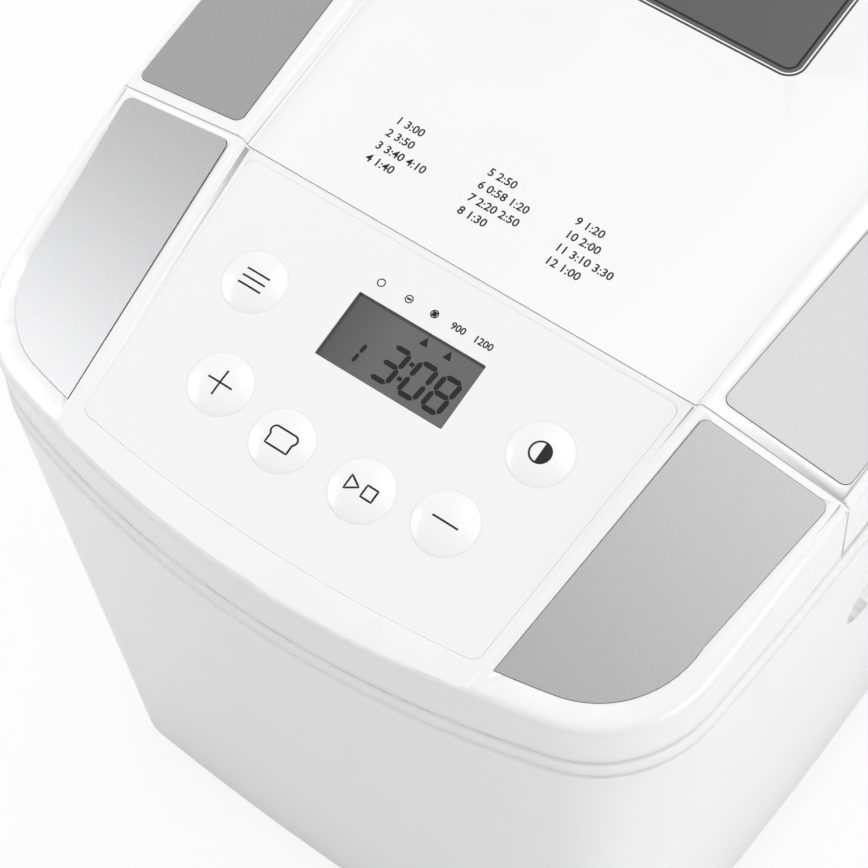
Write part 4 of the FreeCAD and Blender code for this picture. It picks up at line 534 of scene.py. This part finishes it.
def corners(node):
    """Corner points of a node's triangles in millimetres, and the normal of each triangle."""
    mesh = nodes[node].data
    spots = read(mesh.vertices, "co", 3)[read(mesh.loops, "vertex_index", kind=int)]
    return spots.reshape(-1, 3, 3) / MM, read(mesh.polygons, "normal", 3)


triangles, normals = corners("top_deck")
roof = triangles[normals[:, 2] > UPWARD].reshape(-1, 3)
rear = roof[np.abs(roof[:, 1] - SEAM_Y + SEAM_HALF) < 0.05]
rear = rear[rear[:, 2] > ROOF_LOW]
rear = rear[np.unique(np.round(rear[:, 0], 2), return_index=True)[1]]
lip = np.concatenate([np.c_[rear[:, 0], np.full(len(rear), SEAM_Y + y), rear[:, 2] - LIP_DEPTH]
                      for y in (LIP_FRONT, LIP_BACK)])
add_piece("seam_lip", lip, grid_faces(2, len(rear)), machine, FINISHES["white_plastic"], "housing")
print("lip points:", len(rear), "from", rear[0].round(1), "to", rear[-1].round(1))

# %% [markdown]
# Each key is a soft dome in a round hole of the panel. A sphere would fall off too early, so the height
# falls as a power of the radius: nearly flat in the middle and rounder towards the edge. A skirt then
# runs straight down into the hole. Carrying the section round the key's axis gives a surface of two
# parameters: the place on the section and the angle.

# %% Domed keys
KEY_RADIUS, KEY_DOME, KEY_SKIRT, DOME_POWER = 9.7, 1.5, -2.4, 2.6
COLLAR_INNER, COLLAR_OUTER, COLLAR_TOP, COLLAR_LOW = KEY_RADIUS + 0.02, 10.06, -0.03, -0.9
AROUND = 96
KEYS = {
    "menu_key": (-49.9, -34.7), "crust_key": (49.9, -34.7), "plus_key": (-39.2, -65.4),
    "minus_key": (39.2, -65.4), "loaf_key": (-13.9, -70.0), "start_key": (13.9, -70.0),
}


def dome_height(r):
    """Height of the key's top at a distance from its axis: full in the middle, falling as a power of r."""
    return KEY_DOME * (1 - (np.minimum(r, KEY_RADIUS) / KEY_RADIUS) ** DOME_POWER)


def turned(name, section_r, section_z, x, v, body, slot, caps=True):
    """Carry a section of radii and heights round the upright line through a point of the panel."""
    angle = np.linspace(0, 2 * np.pi, AROUND, endpoint=False)
    points = np.stack([x + section_r[:, None] * np.cos(angle), v + section_r[:, None] * np.sin(angle),
                       np.repeat(section_z[:, None], AROUND, 1)], -1).reshape(-1, 3)
    faces = [f[::-1] for f in grid_faces(len(section_r), AROUND, closed=True)]
    if caps:
        faces.append(list(range(AROUND)))
        faces.append(list(range(len(points) - AROUND, len(points)))[::-1])
    return add_piece(name, points, faces, panel, FINISHES[slot], body, True)


def key_dome(node, x, v):
    """Key: the dome's height over its radius, then a straight skirt; a collar of film lines its hole."""
    r = np.r_[np.linspace(0.02, KEY_RADIUS - 0.6, 26), np.linspace(KEY_RADIUS - 0.5, KEY_RADIUS, 6)]
    piece = turned(node + "_dome", np.r_[r, KEY_RADIUS], np.r_[dome_height(r), KEY_SKIRT], x, v,
                   body_of_node[node], "white_key")
    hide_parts(node)
    turned(node + "_collar",
           np.array((COLLAR_INNER, COLLAR_OUTER, COLLAR_OUTER, COLLAR_INNER, COLLAR_INNER)),
           np.array((COLLAR_TOP, COLLAR_TOP, COLLAR_LOW, COLLAR_LOW, COLLAR_TOP)), x, v,
           "housing", "panel_film", caps=False)


for node, (x, v) in KEYS.items():
    key_dome(node, x, v)
print("keys:", len(KEYS))

# %% [markdown]
# The signs on the keys are plain: a list, a half-filled disc, plus, minus, a loaf, and start and stop.
# A flat decal would sink into the dome, so every sign is a set of ribbons, each a path with a width,
# and the ribbon follows the dome's height.

# %% Signs on the keys
PRINT_HEIGHT = 0.03


def ribbon(path, width, closed=False):
    """Band along a path: each point moves half the width, one number or one per point, along the normal."""
    path = np.asarray(path, float)
    half = np.broadcast_to(np.asarray(width, float) / 2, len(path))[:, None]
    ahead = np.roll(path, -1, 0) - path
    behind = path - np.roll(path, 1, 0)
    if not closed:
        ahead[-1] = behind[-1]
        behind[0] = ahead[0]
    run = sum(step / np.linalg.norm(step, axis=1)[:, None] for step in (ahead, behind))
    run /= np.linalg.norm(run, axis=1)[:, None]
    normal = np.c_[-run[:, 1], run[:, 0]]
    band = np.concatenate([path - normal * half, path + normal * half])
    return band, grid_faces(2, len(path), closed)


def line(x0, y0, x1, y1, count=8):
    """Straight path of evenly spaced points."""
    return np.linspace((x0, y0), (x1, y1), count)


def loop(*spots, count=8):
    """Closed path with straight sides, each divided evenly, without repeated points."""
    ends = spots[1:] + spots[:1]
    return np.concatenate([line(*a, *b, count)[:-1] for a, b in zip(spots, ends)])


def arc(x, y, radius, start, end, count=32):
    """Path on a circle between two angles in degrees."""
    a = np.radians(np.linspace(start, end, count))
    return np.c_[x + radius * np.cos(a), y + radius * np.sin(a)]


def sign(name, bands, matrix, material, body, height, centre=(0.0, 0.0)):
    """Join ribbons into one piece whose height above the sheet is a function of the distance to a centre."""
    points, faces = [], []
    for band, quads in bands:
        start = sum(len(p) for p in points)
        points.append(band)
        faces += [[start + i for i in quad] for quad in quads]
    sheet = np.concatenate(points)
    away = np.hypot(sheet[:, 0] - centre[0], sheet[:, 1] - centre[1])
    return add_piece(name, np.c_[sheet, height(away)], faces, matrix, material, body)


STROKE = 0.6
DISC = 3.2
half_disc = []
for a in np.linspace(0.05, 0.97, 19) * DISC:
    reach = math.sqrt(DISC ** 2 - a ** 2)
    half_disc.append(ribbon(line(a, -reach, a, reach, 10), 0.2))
LOAF_SCALE = 1.25
loaf_path = LOAF_SCALE * np.concatenate([
    line(-3.0, -2.4, 3.0, -2.4)[:-1], line(3.0, -2.4, 3.0, 0.2)[:-1], arc(2.3, 1.1, 1.25, -50, 100, 14),
    line(1.6, 2.33, -1.6, 2.33)[:-1], arc(-2.3, 1.1, 1.25, 80, 230, 14), line(-3.0, 0.0, -3.0, -2.2)[:-1]])
START = ((-4.6, -2.3), (-4.6, 2.3), (-0.8, 0.0))
STOP = ((1.0, -1.9), (4.6, -1.9), (4.6, 1.9), (1.0, 1.9))
SIGNS = {
    "menu_key": [ribbon(line(-4.0, y, 4.0, y), STROKE) for y in (-2.4, 0.0, 2.4)],
    "crust_key": [ribbon(arc(0, 0, DISC, 0, 354, 48), STROKE, True)] + half_disc,
    "plus_key": [ribbon(line(-4.2, 0, 4.2, 0, 16), STROKE), ribbon(line(0, -4.2, 0, 4.2, 16), STROKE)],
    "minus_key": [ribbon(line(-4.3, 0, 4.3, 0, 16), STROKE)],
    "loaf_key": [ribbon(loaf_path, STROKE, True)],
    "start_key": [ribbon(loop(*START), STROKE, True), ribbon(loop(*STOP), STROKE, True)],
}
for node, bands in SIGNS.items():
    moved = [(band + np.array(KEYS[node]), quads) for band, quads in bands]
    sign(node + "_sign", moved, panel, ink, body_of_node[node],
         lambda r: dome_height(r) + PRINT_HEIGHT, KEYS[node])
print("signs:", len(SIGNS))

# %% [markdown]
# The display shows a programme number and a time in slanted seven-segment figures. A segment is a short
# bar with pointed ends, so each figure is a choice among seven bars. They lie just above the grey of the
# display, and two dark strips stand for the shade of the opening's edge.

# %% Figures of the display
LCD_DEPTH = -0.47
SLANT = 0.1
SEGMENTS = {"a": (0, 1, 1, 1), "b": (1, 1, 1, 0.5), "c": (1, 0.5, 1, 0), "d": (0, 0, 1, 0),
            "e": (0, 0.5, 0, 0), "f": (0, 1, 0, 0.5), "g": (0, 0.5, 1, 0.5)}
FIGURES = {"0": "abcdef", "1": "bc", "3": "abcdg", "8": "abcdefg"}
SMALL = dict(wide=3.0, tall=6.8, stroke=1.2)
LARGE = dict(wide=5.4, tall=11.0, stroke=1.6)


def level(height):
    """Function of a distance that gives the same height everywhere."""
    return lambda r: np.full_like(r, height)


def figure(character, x, v, wide, tall, stroke):
    """Bars of one figure: each is pointed at both ends, and all lean to the right."""
    bands = []
    for key in FIGURES[character]:
        x0, y0, x1, y1 = SEGMENTS[key]
        start, end = np.array((x0 * wide, y0 * tall)), np.array((x1 * wide, y1 * tall))
        run = (end - start) / np.linalg.norm(end - start) * stroke
        path = np.array([start + run * 0.12, start + run * 0.6, end - run * 0.6, end - run * 0.12])
        path[:, 0] += SLANT * path[:, 1]
        band, quads = ribbon(path, np.array((0.05, 1.0, 1.0, 0.05)) * stroke)
        bands.append((band + np.array((x - wide / 2, v - tall / 2)), quads))
    return bands


readout = figure("1", -13.0, -36.6, **SMALL)
for character, x in (("3", -2.0), ("0", 7.4), ("8", 15.6)):
    readout += figure(character, x, -34.8, **LARGE)
for x, v in ((3.7, -31.6), (3.2, -37.0)):
    readout.append(ribbon(line(x - 0.7, v, x + 0.7, v, 2), 1.3))
for x in (2.9, 11.0):
    readout.append((np.array([(x - 1.35, -25.2), (x + 1.35, -25.2), (x, -22.3)]), [[0, 1, 2]]))
sign("display_figures", readout, panel, lcd_ink, "housing", level(LCD_DEPTH))

SHADE_SIDE, SHADE_TOP, SHADE_LOW = 21.9, -21.2, -43.2
edge_shade = [ribbon(line(-SHADE_SIDE, SHADE_TOP, SHADE_SIDE, SHADE_TOP, 2), 1.3),
              ribbon(line(-SHADE_SIDE, SHADE_LOW, -SHADE_SIDE, SHADE_TOP, 2), 1.8)]
sign("display_shade", edge_shade, panel, lcd_shade, "housing", level(LCD_DEPTH - 0.01))
print("display bars:", len(readout))

# %% [markdown]
# The film carries small crust and weight marks above the display, and the lid has a list of the twelve
# programmes as plain numbers with times. Text starts as a text curve and is made a mesh before it is
# placed. The window has a bright line, a painted highlight where the edge of the glass catches the
# light, and a dark line inside its edge, which are ribbons again.

# %% Printed marks and the window's painted highlight
CAP_SHARE = 0.72
BOLDER = 0.07


def printed(name, text, x, v, tall, matrix, body):
    """Text of a cap height, left edge and base line at a point of the sheet."""
    curve = bpy.data.curves.new(name, "FONT")
    curve.body = text
    curve.size = tall / CAP_SHARE
    curve.resolution_u = 3
    curve.offset = BOLDER
    holder = new_object(name + "_curve", curve)
    bpy.context.view_layer.update()
    shown = holder.evaluated_get(bpy.context.evaluated_depsgraph_get())
    mesh = bpy.data.meshes.new_from_object(shown)
    bpy.data.objects.remove(holder)
    mesh.transform(matrix @ Matrix.Translation((x, v, PRINT_HEIGHT)))
    mesh.materials.clear()
    mesh.materials.append(ink)
    piece = new_object(name, mesh)
    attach(piece, body)
    return piece


CRUST_V, CRUST_RADIUS, CRUST_BAR = -15.6, 1.15, 0.75
WEIGHT_V, WEIGHT_TALL = -16.8, 2.3
crust = []
for x, filled in ((-18.3, 0.0), (-8.5, 0.6), (0.4, 1.6)):
    crust.append(ribbon(arc(x, CRUST_V, CRUST_RADIUS, 0, 345, 24), 0.35, True))
    if filled:
        crust.append(ribbon(line(x - CRUST_BAR, CRUST_V, x + CRUST_BAR, CRUST_V, 2), filled))
sign("crust_marks", crust, panel, ink, "housing", level(PRINT_HEIGHT))
printed("weight_small", "900", 6.4, WEIGHT_V, WEIGHT_TALL, panel, "housing")
printed("weight_large", "1200", 14.2, WEIGHT_V, WEIGHT_TALL, panel, "housing")

COLUMNS = (-46.5, -13.5, 17.0)
ROWS = (-39.6, -44.7, -49.8, -54.9)
LIST_TALL = 2.8
TIMES = ("3:00", "3:50", "3:40 4:10", "1:40", "2:50", "0:58 1:20", "2:20 2:50", "1:30",
         "1:20", "2:00", "3:10 3:30", "1:00")
for i, time in enumerate(TIMES):
    x, y = COLUMNS[i // len(ROWS)], ROWS[i % len(ROWS)]
    printed(f"programme_{i + 1}", f"{i + 1} {time}", x, y, LIST_TALL, lid_sheet, "lid")

WINDOW_HALF, WINDOW_FRONT, WINDOW_BACK, WINDOW_CORNER = 44.0, 35.5, 119.5, 6.0


def window_line(inset):
    """Closed path a distance inside the window's edge, with round corners about the same centres."""
    x, low, high = WINDOW_HALF - WINDOW_CORNER, WINDOW_FRONT + WINDOW_CORNER, WINDOW_BACK - WINDOW_CORNER
    spots = ((x, low, 270), (x, high, 0), (-x, high, 90), (-x, low, 180))
    radius = WINDOW_CORNER - inset
    return np.concatenate([arc(cx, cy, radius, turn, turn + 90, 12) for cx, cy, turn in spots])


# painted highlight: a white band where the edge of the window's glass catches the light
sign("window_painted_highlight", [ribbon(window_line(0.75), 0.45, True)], lid_sheet,
     FINISHES["white_plastic"], "lid", level(0.02))
sign("window_dark_line", [ribbon(window_line(2.6), 0.7, True)], lid_sheet, ink, "lid",
     level(PRINT_HEIGHT))
print("programmes:", len(TIMES))

# %% [markdown]
# The studio is plain: a pale floor, a bright surround and three soft lamps, one above and behind, one at
# the left and one at the right. The surround gives less light from the front, so that the front wall
# stays a tone darker than the side. Floor and surround look white to the camera by the light path.

# %% Studio
WHITE = (1, 1, 1, 1)
SKY_LIGHT, FRONT_LIGHT = 0.75, 0.42
FLOOR_REACH, FLOOR_GREY, FLOOR_GLOW = 6.0, 0.85, 0.85


def surround(tree, light, front_light):
    """World: soft light for the object, weaker from the front, white for camera, mirror and glass rays."""
    tree.nodes.clear()
    path = tree.nodes.new("ShaderNodeLightPath")
    seen = Wire(tree, path.outputs["Is Camera Ray"]) + Wire(tree, path.outputs["Is Glossy Ray"])
    seen = (seen + Wire(tree, path.outputs["Is Transmission Ray"])).clamp()
    way = Wire(tree, tree.nodes.new("ShaderNodeTexCoord").outputs["Generated"])
    front = (way.make("SeparateXYZ", out=1, Vector=way) * -1.0).clamp()
    around, near, white = [seen.make("Background", Color=WHITE, Strength=strength)
                           for strength in (light, front_light, 1.0)]
    soft = front.make("MixShader", i0=front, i1=around, i2=near)
    mix = seen.make("MixShader", i0=seen, i1=soft, i2=white)
    out = tree.nodes.new("ShaderNodeOutputWorld")
    tree.links.new(mix.socket, out.inputs[0])


world = bpy.data.worlds.new("studio")
bpy.context.scene.world = world
world.use_nodes = True
surround(world.node_tree, SKY_LIGHT, FRONT_LIGHT)

floor_mesh = bpy.data.meshes.new("floor")
floor_corners = [(x * FLOOR_REACH, y * FLOOR_REACH, 0) for x, y in ((-1, -1), (1, -1), (1, 1), (-1, 1))]
floor_mesh.from_pydata(floor_corners, [], [(0, 1, 2, 3)])
floor = new_object("floor", floor_mesh)
floor_paint, floor_shader, _ = paint("floor_white", Base_Color=(*[FLOOR_GREY] * 3, 1), Roughness=0.8)
tree = floor_paint.node_tree
path = tree.nodes.new("ShaderNodeLightPath")
seen = Wire(tree, path.outputs["Is Camera Ray"])
glow = seen.make("Emission", Color=WHITE, Strength=1.0)
mixed = seen.make("MixShader", i0=seen * FLOOR_GLOW, i1=Wire(tree, floor_shader.outputs[0]), i2=glow)
tree.links.new(mixed.socket, next(n for n in tree.nodes if n.type == "OUTPUT_MATERIAL").inputs[0])
floor_mesh.materials.append(floor_paint)


def soft_light(name, place, aim, size, watts):
    """Square area light at a place, turned towards an aim."""
    lamp = bpy.data.lights.new(name, "AREA")
    lamp.size = size
    lamp.energy = watts
    holder = new_object(name, lamp)
    holder.location = place
    holder.rotation_euler = (Vector(aim) - Vector(place)).to_track_quat("-Z", "Y").to_euler()


soft_light("above", (0.35, 0.8, 1.8), (0, 0, 0.2), 1.6, 10.4)
soft_light("left", (-1.3, -0.47, 1.1), (0, -0.05, 0.25), 0.9, 8.0)
soft_light("right", (1.6, -0.3, 0.65), (0, 0, 0.15), 0.8, 7.6)
bpy.context.scene.view_settings.view_transform = "Standard"
print("lamps:", len(bpy.data.lights))

# %% [markdown]
# The camera was fitted to the photograph: the round keys and the corners of the display fix its place
# and its long lens. Two of its axes are written as unit vectors, and the third is their cross product.

# %% Camera
CAMERA_PLACE = (0.25151, -0.35382, 0.93269)
CAMERA_RIGHT = (0.80983, 0.58199, -0.07392)
CAMERA_UP = (-0.4922, 0.74257, 0.45423)
lens = bpy.data.cameras.new("camera")
lens.lens = 107.83
lens.sensor_width = 36
lens.clip_start = 0.01
camera = new_object("camera", lens)
right, up = Vector(CAMERA_RIGHT), Vector(CAMERA_UP)
turn = Matrix((right, up, right.cross(up))).transposed().to_4x4()
camera.matrix_world = Matrix.Translation(CAMERA_PLACE) @ turn
bpy.context.scene.camera = camera
print("lens:", lens.lens, "mm")
